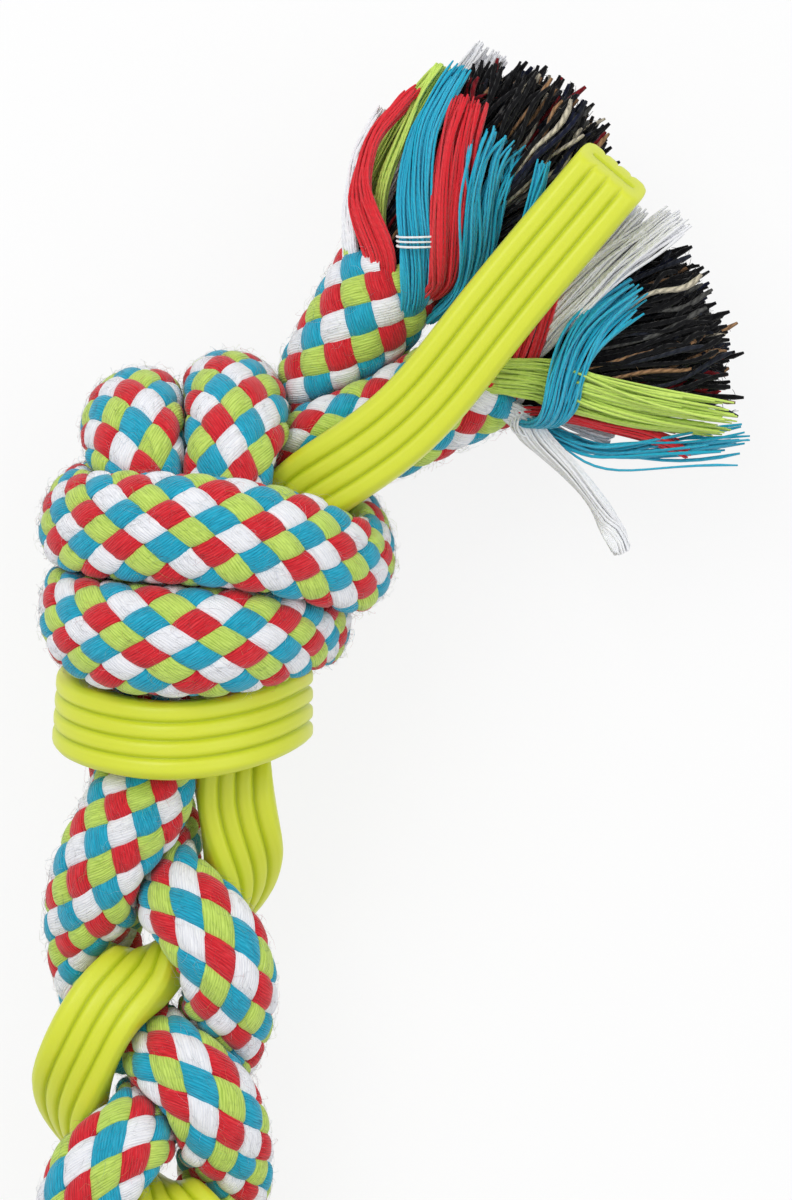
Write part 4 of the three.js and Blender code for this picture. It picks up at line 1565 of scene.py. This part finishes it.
TASSEL_A = (
    Bundle(Dye.WHITE, ((-4.0, 5.2, 3.2), (-0.5, 7.6, 2.6), (4.0, 10.4, 0.4), (10.0, 12.4, -2.4),
        (18.0, 12.6, -4.4)), (1.6, 2.0, 2.2), 34),
    Bundle(Dye.RED, ((-3.0, 0.6, 5.6), (0.3, 2.7, 6.7), (4.6, 7.9, 5.8), (8.1, 10.3, 4.6),
        (14.3, 11.8, 3.0), (19.5, 11.0, 1.8), (23.4, 9.7, 0.6)), (2.1, 2.6, 1.2), 46, 0.7, 0.8),
    Bundle(Dye.LIME, ((0.0, 2.6, 3.0), (7.8, 6.9, 3.4), (15.5, 8.2, 2.6), (22.8, 8.8, 1.2),
        (28.2, 8.4, 0.2)), (0.9, 1.2, 1.0), 26, 0.6, 0.6),
    Bundle(Dye.BLUE, ((-4.0, -5.4, 5.6), (-2.0, -4.8, 6.8), (1.2, -3.2, 7.6), (4.9, -0.9, 7.9),
        (10.9, 2.9, 7.5), (18.4, 6.0, 5.8), (24.4, 6.4, 3.8), (29.6, 6.0, 2.4)),
        (2.2, 2.4, 2.4), 50, 0.7, 0.7),
    Bundle(Dye.RED, ((-1.6, -6.6, 4.2), (1.0, -7.2, 5.6), (3.6, -6.6, 6.8), (11.6, -2.9, 7.6),
        (20.0, 0.6, 6.8), (26.8, 2.2, 5.6)), (2.0, 2.9, 2.7), 56, 0.7, 0.8),
    Bundle(Dye.BLUE, ((-5.0, -8.0, 0.4), (-1.0, -9.4, 1.4), (3.0, -10.2, 3.4), (8.0, -9.4, 5.4),
        (15.3, -6.6, 6.8), (20.6, -5.0, 6.6), (24.4, -4.6, 5.8)), (2.0, 3.2, 3.9), 44, 0.8, 2.6),
    Bundle(Dye.BLUE, ((2.0, -9.6, 0.4), (7.0, -12.4, 3.6), (13.0, -13.4, 6.4), (18.6, -12.8, 7.6),
        (24.2, -11.4, 7.8)), (0.5, 0.6, 1.3), 16, 0.5, 1.2),
    Bundle(Dye.WHITE, ((-1.0, 4.0, -5.0), (10.0, 5.6, -6.6), (22.0, 4.6, -7.2), (33.4, 3.4, -6.4)),
        (2.0, 2.6, 2.6), 64),
    Bundle(Dye.LIME, ((-2.0, 7.0, -3.0), (8.0, 9.4, -4.4), (18.0, 9.2, -6.0), (28.0, 7.4, -6.8)),
        (2.0, 2.4, 2.6), 36),
    Bundle(Dye.BLUE, ((-2.0, -7.2, -2.0), (8.0, -11.6, -3.0), (18.0, -15.4, -3.6),
        (28.0, -17.6, -3.6)), (2.0, 2.6, 3.0), 36, 0.7, 1.8),
    Bundle(Dye.RED, ((-2.0, 1.8, -7.2), (8.0, 0.6, -9.2), (18.0, -1.6, -10.0), (29.0, -4.0, -9.4)),
        (2.2, 2.8, 3.0), 38),
    Bundle(Dye.WHITE, ((-2.0, -3.0, -6.8), (8.0, -5.8, -8.8), (18.0, -9.4, -9.6),
        (28.0, -12.8, -8.8)), (2.2, 2.8, 3.0), 38),
    Bundle(Dye.LIME, ((-2.0, -5.8, -4.8), (8.0, -9.8, -6.6), (17.0, -14.4, -7.2),
        (25.0, -18.2, -6.4)), (2.0, 2.6, 2.8), 36, 0.7, 1.6),
)
TASSEL_B = (
    Bundle(Dye.RED, ((-2.0, -3.4, 5.0), (-0.2, -2.0, 6.2), (2.4, 0.2, 7.0), (5.9, 3.4, 7.2),
        (9.0, 6.4, 7.0), (13.5, 11.1, 5.6), (17.0, 15.0, 3.6)), (2.8, 2.8, 2.2), 54, 0.7, 0.6),
    Bundle(Dye.WHITE, ((1.0, 1.2, 4.4), (5.0, 1.2, 5.8), (8.4, 2.9, 7.0), (14.5, 5.1, 8.1),
        (20.8, 7.1, 7.7), (26.7, 8.2, 7.1), (32.6, 9.3, 6.5)), (1.9, 3.0, 3.0), 84, 0.8, 1.3),
    Bundle(Dye.BLUE, ((-1.0, -7.4, 0.6), (1.2, -9.4, 3.4), (3.2, -9.9, 6.6), (5.2, -8.4, 8.8),
        (7.9, -5.2, 9.7), (11.7, -1.7, 9.9), (16.2, 0.5, 9.3), (23.0, 2.1, 8.0)),
        (1.8, 2.7, 2.5), 46, 0.7, 1.8),
    Bundle(Dye.LIME, ((-4.4, 1.6, 5.6), (-2.6, -0.2, 7.2), (0.4, -2.0, 7.9), (3.6, -3.8, 7.9),
        (6.4, -6.0, 7.6), (10.6, -9.8, 7.2), (17.4, -14.9, 6.3), (27.6, -21.4, 4.9)),
        (2.2, 2.8, 5.0), 76, 0.6, 1.7),
    Bundle(Dye.RED, ((-1.0, -7.0, 2.6), (1.5, -8.0, 3.0), (5.8, -10.2, 2.8), (10.7, -13.9, 2.1),
        (15.9, -18.0, 1.4), (20.2, -22.4, 0.5)), (1.6, 1.0, 0.8), 22, 0.6, 1.4),
    Bundle(Dye.BLUE, ((-2.0, -7.2, -1.4), (1.0, -9.4, -0.8), (3.8, -12.9, -0.8), (8.1, -17.0, -1.0),
        (16.2, -20.5, -1.1), (29.0, -24.6, -1.1)), (1.2, 1.5, 4.8), 26, 0.7, 3.4),
    Bundle(Dye.WHITE, ((-3.6, -4.4, 4.2), (-1.8, -6.0, 3.8), (-0.4, -8.2, 2.8), (0.4, -11.3, 1.4),
        (3.2, -17.9, -0.6), (5.0, -24.9, -1.8), (5.1, -31.8, -2.6)),
        (1.4, 1.9, 1.6), 84, 0.7, 0.0, True),
    Bundle(Dye.WHITE, ((0.0, 5.6, 1.0), (7.3, 5.0, 2.4), (14.2, 7.4, 3.1), (21.3, 9.9, 2.7),
        (28.4, 12.4, 2.1)), (1.8, 2.2, 2.4), 38, 0.7, 1.2),
    Bundle(Dye.WHITE, ((0.0, -7.2, -2.8), (4.0, -9.6, -3.2), (7.0, -12.6, -3.2),
        (11.0, -16.0, -3.0)), (1.2, 1.5, 1.4), 22),
    Bundle(Dye.LIME, ((-2.0, 3.0, -6.6), (8.0, 4.0, -8.0), (18.0, 3.4, -8.6), (29.0, 2.0, -8.0)),
        (2.2, 2.8, 3.0), 38),
    Bundle(Dye.BLUE, ((-2.0, -1.2, -7.4), (8.0, -2.8, -9.0), (18.0, -5.4, -9.4),
        (29.0, -8.4, -8.6)), (2.2, 2.8, 3.2), 38),
    Bundle(Dye.RED, ((-2.0, -5.0, -5.6), (8.0, -8.4, -6.8), (18.0, -12.4, -7.0),
        (28.0, -16.4, -6.2)), (2.2, 2.8, 3.0), 38),
)


@dataclass(frozen=True)
class CoreFan:
    """The fan of core yarns in a tassel: where its tips lie, from right to left and along."""

    right: float
    left: float
    along: float
    drop: float
    rise: float
    yarns: int = 300
    root: float = -2.0
    root_radius: float = 5.2
    waist: float = 9.0
    waist_root_shares: Place = (0.0, 0.62, 0.62)
    waist_tip_shares: Place = (0.0, 0.38, 0.38)
    shoulder: float = 21.0
    shoulder_root_shares: Place = (0.0, 0.2, 0.25)
    shoulder_tip_shares: Place = (0.0, 0.82, 0.85)
    tip_drop: float = 2.0
    tip_scatter: float = 1.0
    wave_size: float = 0.75
    wave_turns: tuple[float, float] = (5.0, 19.0)
    splay: float = 1.6
    splay_power: float = 2.5
    wisps: int = 3200
    wisp_points: int = 5
    wisp_lengths: tuple[float, float] = (0.35, 1.2)
    wisp_span: float = 0.75
    wisp_crowding: float = 1.6
    wisp_heading: Place = (0.9, 0.0, 0.0)
    wisp_bend: float = 0.7


@dataclass(frozen=True)
class Thread:
    """The thread that ties a bundle: its size, and how it winds round the bundle."""

    start: float
    turns: float = 2.9
    pitch: float = 0.7
    radius: float = 0.145
    half_width: float = 2.75
    half_height: float = 2.15
    points: int = 110
    sides: int = 6
    spine_points: int = 120


CORE_COLOURS: tuple[tuple[Colour, float], ...] = (
    (linear(20, 20, 23), 0.62), (linear(28, 34, 60), 0.1), (linear(96, 96, 94), 0.05),
    (linear(182, 140, 102), 0.07), (linear(224, 214, 192), 0.035), (linear(140, 26, 36), 0.03),
    (linear(44, 48, 60), 0.08),
)


def smooth_path(points: Array, count: int) -> Array:
    """Draws a smooth curve through places.

    Args:
        points: the places, in order.
        count: how many points the curve gets.

    Returns:
        The curve's points.
    """
    spot = np.linspace(0.0, len(points) - 1 - JUST_SHORT, count)
    low = spot.astype(int)
    return curve_through(points, low, (spot - low)[:, None])


def tubes(paths: Array, radii: Array, sides: int,
          aim: Array | None = None) -> tuple[Array, dict[str, Array]]:
    """Makes a tube round each of several like paths.

    Args:
        paths: the paths: tube, point, place.
        radii: the radius at each point of each path.
        sides: how many sides a tube has.
        aim: a direction that no tube runs in, where up or across the toy won't do.

    Returns:
        The points, as rings in order, and how far round and along each lies.
    """
    run = unit(np.gradient(paths, axis=1))
    if aim is None:
        aim = np.where(np.abs(run[:, :1, 2:]) > STEEP, ACROSS, UP)
    side = unit(np.cross(run, aim))
    up = np.cross(run, side)
    turn = np.linspace(0.0, math.tau, sides, endpoint=False)
    ring = side[:, :, None] * np.cos(turn)[:, None] + up[:, :, None] * np.sin(turn)[:, None]
    rings = paths[:, :, None] + ring * radii[:, :, None, None]
    steps = np.linalg.norm(np.diff(paths, axis=1), axis=2)
    along = np.concatenate([np.zeros((len(paths), 1)), np.cumsum(steps, axis=1)], axis=1)
    shape = rings.shape[:3]
    carried = {
        "across": np.broadcast_to(turn, shape).ravel(),
        "along": np.broadcast_to(along[:, :, None], shape).ravel(),
    }
    return rings.reshape(-1, 3), carried


@dataclass
class Tassel:
    """One frayed rope end: bundles of carrier yarns round a fan of core yarns, one bundle tied."""

    rope: str
    end: str
    middle: Array
    out: Array
    bundles: tuple[Bundle, ...]
    fan: CoreFan
    shift: Place
    seed: int
    thread: Thread
    bound: int
    nodes: dict[Dye, list[str]]
    yarn_radius: float = 0.205
    core_radius: float = 0.31
    wisp_radius: float = 0.045
    yarn_sides: int = 5
    core_sides: int = 6
    wisp_sides: int = 3
    points: int = 24
    mid_share: float = 0.45
    flatness: float = 0.8
    thinnest: float = 0.05
    wave_turns: tuple[float, float] = (0.7, 2.3)
    wave_rise: float = 0.8
    tight: float = 0.1
    looseness: float = 0.22
    straying: tuple[float, float] = (0.4, 0.3)
    spread: float = 0.6
    cut_jitter: float = 0.02
    ragged_jitter: float = 0.022
    shortest: float = 0.72
    ribbon_round: float = 0.035
    swell: float = 0.12
    swell_waves: float = 14.0
    flare: float = 0.25
    sizes: tuple[float, float] = (0.85, 1.15)
    ends: tuple[float, float] = (0.6, 0.55)

    def __post_init__(self) -> None:
        """Works out the tassel's own left and up."""
        self.up = unit(UP - self.out * np.dot(self.out, UP))
        self.left = np.cross(self.up, self.out)
        self.rng = np.random.default_rng(self.seed)

    def at(self, places: Array) -> Array:
        """Turns places along, left and up into places of the toy."""
        return (self.middle + places[..., :1] * self.out + places[..., 1:2] * self.left
                + places[..., 2:] * self.up)

    def bundle_paths(self, bundle: Bundle) -> Array:
        """Draws the yarns of one bundle.

        Args:
            bundle: the bundle.

        Returns:
            The yarns' paths, in the tassel's own directions.
        """
        rng = self.rng
        spine = smooth_path(np.array(bundle.path), self.points)
        _, outward, aside = self.axes(spine)
        share = np.linspace(0.0, 1.0, self.points)
        width = np.interp(share, (0.0, self.mid_share, 1.0), bundle.widths)
        spots = np.linspace(-1.0, 1.0, bundle.yarns)
        rng.shuffle(spots)
        layer = rng.uniform(-1.0, 1.0, bundle.yarns)
        layer = layer * np.sqrt(np.maximum(self.thinnest, 1 - self.flatness * spots**2))
        wander = rng.normal(0.0, 1.0, (bundle.yarns, 2))
        wave = rng.uniform(0.0, math.tau, (bundle.yarns, 2))
        frequency = rng.uniform(*self.wave_turns, (bundle.yarns, 2)) * math.tau
        loose = self.tight + bundle.ragged * self.looseness * share
        stray, rise = (wander[:, k:k + 1] * share[None, :] ** 2 * bundle.ragged * self.straying[k]
                       for k in range(2))
        waves = np.sin(frequency[:, :, None] * share + wave[:, :, None]) * loose
        sideways = spots[:, None] * width + stray + waves[:, 0]
        thick = bundle.thick * (1.0 + self.spread * share)
        lift = layer[:, None] * thick + rise + waves[:, 1] * self.wave_rise
        paths = spine[None] + aside[None] * sideways[..., None] + outward[None] * lift[..., None]
        jitter = self.cut_jitter + self.ragged_jitter * bundle.ragged
        cut = np.clip(1.0 - np.abs(rng.normal(0.0, jitter, bundle.yarns)), self.shortest, 1.0)
        if bundle.pressed:
            cut = 1.0 - self.ribbon_round * spots**4
        return np.stack([self.shortened(path, part) for path, part in zip(paths, cut)])

    def axes(self, spine: Array) -> tuple[Array, Array, Array]:
        """Works out a bundle's own directions at each point of its middle line.

        Args:
            spine: the middle line, in the tassel's own directions.

        Returns:
            The directions along the bundle, out from the tassel's middle, and across both.
        """
        run = unit(np.gradient(spine, axis=0))
        outward = spine * (0.0, 1.0, 1.0)
        outward = unit(outward - run * dot(outward, run))
        return run, outward, np.cross(run, outward)

    def shortened(self, path: Array, part: float) -> Array:
        """Cuts a path to a part of its length, with as many points."""
        spot = np.linspace(0.0, (len(path) - 1) * part, len(path))
        return read_off(spot, np.arange(len(path)), path)

    def yarns(self, name: str, paths: Array, radius: float, sides: int, material: bpy.types.Material,
              colours: Array | None = None, aim: Array | None = None) -> bpy.types.Object:
        """Makes one object of yarns.

        Args:
            name: its name.
            paths: the yarns' paths, in the tassel's own directions.
            radius: the yarns' radius.
            sides: how many sides a yarn has.
            material: its finish.
            colours: each yarn's own colour, where they differ.
            aim: a direction that no yarn runs in, where up or across the toy won't do.

        Returns:
            The object.
        """
        count, points = paths.shape[:2]
        share = np.linspace(0.0, 1.0, points)
        wave = np.sin(self.rng.uniform(0, math.tau, (count, 1)) + share * self.swell_waves)
        flare = 1.0 + self.flare * share[None, :] ** 4
        radii = radius * (1.0 + self.swell * wave) * flare * self.rng.uniform(*self.sizes, (count, 1))
        radii[:, 0] *= self.ends[0]
        radii[:, -1] *= self.ends[1]
        places, carried = tubes(self.at(paths), radii, sides, aim)
        carried["tone"] = np.repeat(self.rng.random(count), points * sides)
        if colours is not None:
            full = np.concatenate([colours, np.ones((count, 1))], axis=1)
            carried["yarn_colour"] = np.repeat(full, points * sides, axis=0)
        faces = grids(count, points, sides, True)
        return make_object(name, places, faces, carried, material, self.shift)

    def core_paths(self) -> tuple[Array, Array]:
        """Draws the core yarns.

        Returns:
            Their paths, and each yarn's colour.
        """
        rng, fan = self.rng, self.fan
        count = fan.yarns
        turn = rng.uniform(0.0, math.tau, count)
        radius = np.sqrt(rng.uniform(0.0, 1.0, count))
        right, up = radius * np.cos(turn), radius * np.sin(turn)
        middle = (fan.left + fan.right) / 2
        half = (fan.left - fan.right) / 2
        base = np.stack([np.full(count, fan.root), fan.root_radius * right, fan.root_radius * up], axis=1)
        scatter = rng.normal(0.0, fan.tip_scatter, count)
        reach = fan.along - fan.drop * right**2 - fan.tip_drop * radius**3 + scatter
        tip = np.stack([reach, middle + half * right, fan.rise * up], axis=1)
        waist = base * fan.waist_root_shares + tip * fan.waist_tip_shares + fan.waist * ACROSS
        shoulder = (base * fan.shoulder_root_shares + tip * fan.shoulder_tip_shares
                    + fan.shoulder * ACROSS)
        stops = np.stack([base, waist, shoulder, tip], axis=1)
        paths = np.stack([smooth_path(places, self.points) for places in stops])
        share = np.linspace(0.0, 1.0, self.points)
        for axis in (1, 2):
            start = rng.uniform(0, math.tau, (count, 1))
            wave = np.sin(start + share * rng.uniform(*fan.wave_turns, (count, 1)))
            splay = rng.normal(0.0, fan.splay, (count, 1)) * share**fan.splay_power
            paths[:, :, axis] += wave * fan.wave_size * share + splay
        colours = np.array([colour for colour, _ in CORE_COLOURS])
        chances = np.array([chance for _, chance in CORE_COLOURS])
        picked = rng.choice(len(colours), count, p=chances / chances.sum())
        return paths, colours[picked]

    def build(self, materials: dict[Dye, bpy.types.Material],
              core: bpy.types.Material) -> list[bpy.types.Object]:
        """Makes the tassel.

        Args:
            materials: the loose finish of each colour.
            core: the core yarns' finish.

        Returns:
            The pieces.
        """
        stem = f"{self.rope}_{self.end}"
        pieces = []
        for dye in Dye:
            colour = dye.name.lower()
            paths = [self.bundle_paths(bundle) for bundle in self.bundles if bundle.dye is dye]
            piece = self.yarns(f"{stem}_{colour}_yarns", np.concatenate(paths), self.yarn_radius,
                               self.yarn_sides, materials[dye])
            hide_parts(*self.nodes[dye])
            pieces.append(piece)
        paths, colours = self.core_paths()
        fan = self.yarns(f"{stem}_core_yarns", paths, self.core_radius, self.core_sides, core, colours)
        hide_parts(f"{stem}_core_tuft")
        hairs, shades = self.wisp_paths(paths, colours)
        wisps = self.yarns(f"{stem}_core_wisps", hairs, self.wisp_radius, self.wisp_sides, core, shades)
        thread = self.tie(materials[Dye.WHITE])
        return [*pieces, fan, wisps, thread]

    def wisp_paths(self, paths: Array, colours: Array) -> tuple[Array, Array]:
        """Draws the short loose fibres that stand off the core yarns.

        Args:
            paths: the core yarns' paths.
            colours: their colours.

        Returns:
            The fibres' paths, and each fibre's colour.
        """
        rng, count = self.rng, self.fan.wisps
        yarn = rng.integers(0, len(paths), count)
        back = self.fan.wisp_span * rng.random(count) ** self.fan.wisp_crowding
        spot = (self.points - 1) * (1.0 - back)
        root = paths[yarn, spot.astype(int)]
        share = np.linspace(0.0, 1.0, self.fan.wisp_points)[None, :, None]
        heading = unit(rng.normal(0.0, 1.0, (count, 1, 3)) + self.fan.wisp_heading)
        bend = rng.normal(0.0, self.fan.wisp_bend, (count, 1, 3))
        length = rng.uniform(*self.fan.wisp_lengths, (count, 1, 1))
        return root[:, None] + (heading * share + bend * share**2) * length, colours[yarn]

    def tie(self, material: bpy.types.Material) -> bpy.types.Object:
        """Makes the thread that ties one bundle, in about three turns.

        Args:
            material: its finish.

        Returns:
            The piece.
        """
        thread = self.thread
        spine = smooth_path(np.array(self.bundles[self.bound].path), thread.spine_points)
        share = np.linspace(0.0, 1.0, thread.points)
        wound = thread.start + share * thread.turns * thread.pitch
        centre = read_off(wound, reach_along(spine), spine)
        run, outward, aside = self.axes(centre)
        angle = math.tau * thread.turns * share[:, None]
        path = (centre + aside * thread.half_width * np.cos(angle)
                + outward * thread.half_height * np.sin(angle))
        aim = unit(self.at(run.mean(axis=0)) - self.middle)
        piece = self.yarns(f"{self.rope}_{self.end}_tie", path[None], thread.radius, thread.sides,
                           material, aim=aim)
        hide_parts(f"{self.rope}_{self.end}_binding_thread")
        return piece


# The picture


WHITE = (1.0, 1.0, 1.0, 1.0)


@dataclass(frozen=True)
class Lamp:
    """A soft square lamp, with its place from the spot under the camera and its width in metres."""

    name: str
    place: Place
    size: float
    power: float


LAMPS = (Lamp("key", (-0.45, 0.55, 1.1), 0.7, 5.5), Lamp("fill", (0.75, 0.1, 0.9), 0.9, 2.4))


@dataclass
class Stage:
    """The plain pale floor, the soft light and the camera."""

    centre_x: float = 34.8
    centre_y: float = 81.0
    axis_height: float = 27.588
    camera_height: float = 900.0
    frame_height: float = 174.6
    sensor_height: float = 36.0
    floor_size: float = 2.0
    floor_drop: float = 0.0002
    floor_colour: Colour = (0.92, 0.92, 0.93)
    floor_glow: float = 0.82
    daylight: float = 0.68

    def build(self) -> None:
        """Makes the floor, the lamps, the world and the camera."""
        self.floor()
        for lamp in LAMPS:
            self.lamp(lamp)
        self.world()
        self.camera()

    def floor(self) -> None:
        """Makes the floor, white to the camera and pale to the light."""
        mesh = bpy.data.meshes.new("floor")
        corners = [(x * self.floor_size, y * self.floor_size, -self.floor_drop)
                   for x, y in ((-1, -1), (1, -1), (1, 1), (-1, 1))]
        mesh.from_pydata(corners, [], [(0, 1, 2, 3)])
        shader = Shader("floor")
        rays = shader.node("ShaderNodeLightPath")
        seen = rays.value("Is Camera Ray")
        for kind in ("Is Glossy Ray", "Is Transmission Ray"):
            seen = seen.maths("MAXIMUM", seen, rays.value(kind))
        diffuse = shader.node("ShaderNodeBsdfDiffuse", None, {"Color": (*self.floor_colour, 1.0)})
        shine = shader.node("ShaderNodeEmission", None, {"Color": WHITE, "Strength": 1.0})
        mixed = shader.node("ShaderNodeMixShader", None,
                            {0: seen * self.floor_glow, 1: diffuse.link("BSDF"), 2: shine.link("Emission")})
        shader.node("ShaderNodeOutputMaterial", None, {"Surface": mixed.link("Shader")})
        mesh.materials.append(shader.material)
        floor = bpy.data.objects.new("floor", mesh)
        bpy.context.scene.collection.objects.link(floor)

    def lamp(self, lamp: Lamp) -> None:
        """Makes a soft lamp that faces the spot under the camera.

        Args:
            lamp: which lamp.
        """
        light = bpy.data.lights.new(lamp.name, "AREA")
        light.size = lamp.size
        light.energy = lamp.power
        made = bpy.data.objects.new(lamp.name, light)
        target = np.array([self.centre_x, self.centre_y, 0.0]) * METRES
        made.location = tuple(target + np.array(lamp.place))
        x, y, z = lamp.place
        made.rotation_euler = (math.atan2(math.hypot(x, y), z), 0.0, math.atan2(y, x) + math.pi / 2)
        bpy.context.scene.collection.objects.link(made)

    def world(self) -> None:
        """Makes an even white surrounding light."""
        world = bpy.data.worlds.new("surroundings")
        bpy.context.scene.world = world
        world.use_nodes = True
        background = world.node_tree.nodes["Background"]
        background.inputs["Color"].default_value = WHITE
        background.inputs["Strength"].default_value = self.daylight

    def camera(self) -> None:
        """Makes the camera, straight above the near end."""
        data = bpy.data.cameras.new("camera")
        data.sensor_fit = "VERTICAL"
        data.sensor_height = self.sensor_height
        data.lens = self.sensor_height * self.camera_height / self.frame_height
        camera = bpy.data.objects.new("camera", data)
        camera.location = (self.centre_x * METRES, self.centre_y * METRES,
                           (self.axis_height + self.camera_height) * METRES)
        bpy.context.scene.collection.objects.link(camera)
        bpy.context.scene.camera = camera


@dataclass(frozen=True)
class Loosened:
    """What a rope's two frayed ends are made of, with the colours of the solids they stand for."""

    bundles: tuple[Bundle, ...]
    fan: CoreFan
    bound: int
    thread: Thread
    orders: tuple[str, ...]

    def nodes(self, stem: str) -> dict[Dye, list[str]]:
        """Lists the solids that each colour's yarns stand for at one end of the rope.

        Args:
            stem: how the names of that end's solids begin.

        Returns:
            The names for each colour.
        """
        names: dict[Dye, list[str]] = {dye: [] for dye in Dye}
        for number, colour in enumerate(self.orders):
            names[Dye[colour.upper()]].append(f"{stem}_bundle_{number + 1}_{colour}")
        return names


ROPES = {
    "rope_a": Loosened(TASSEL_A, CoreFan(-19.5, 4.6, 34.0, 6.0, 5.0), 3, Thread(9.4),
                       ("red", "lime", "blue", "red", "blue", "white", "lime", "white")),
    "rope_b": Loosened(TASSEL_B, CoreFan(-17.5, 9.0, 31.0, 2.0, 6.4), 2, Thread(1.2),
                       ("white", "red", "blue", "lime", "red", "blue", "lime", "white")),
}
SHIFT: Place = (0.0, -19.8, 27.588)
ROPE_STEP = 1.0
STRAP_STEP = 1.2
ROPE_SEED = 5
TASSEL_SEED = 11


def main() -> None:
    """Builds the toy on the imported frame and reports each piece."""
    logging.basicConfig(level=logging.INFO, format="%(message)s")
    scene = bpy.context.scene
    scene.view_settings.view_transform = "Standard"
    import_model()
    Stage().build()
    layout = Layout()
    braided = {dye: dye.value.braided() for dye in Dye}
    loose = {dye: dye.value.loose() for dye in Dye}
    lining = LiningFinish().material()
    core = CoreFinish().material()
    for number, (name, parts) in enumerate(ROPES.items()):
        rope = BraidedRope(Run(layout.strands[name], ROPE_STEP), SHIFT, seed=ROPE_SEED + number)
        rope.prepare(layout.strands)
        pieces = rope.build(braided, lining)
        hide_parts(name)
        for end, station, out in (("near", -1, 1.0), ("far", 0, -1.0)):
            tassel = Tassel(name, end, rope.run.place[station], rope.run.run[station] * out,
                            parts.bundles, parts.fan, SHIFT, TASSEL_SEED + number * 2 + station,
                            parts.thread, parts.bound, parts.nodes(f"{name}_{end}"))
            pieces += tassel.build(loose, core)
        for piece in pieces:
            LOG.info("%s: %d faces", piece.name, len(piece.data.polygons))
    strap = RibbedStrap(Run(layout.strands["strap"], STRAP_STEP), SHIFT).build(RubberFinish().material())
    LOG.info("%s: %d faces", strap.name, len(strap.data.polygons))


if __name__ == "__main__":
    main()
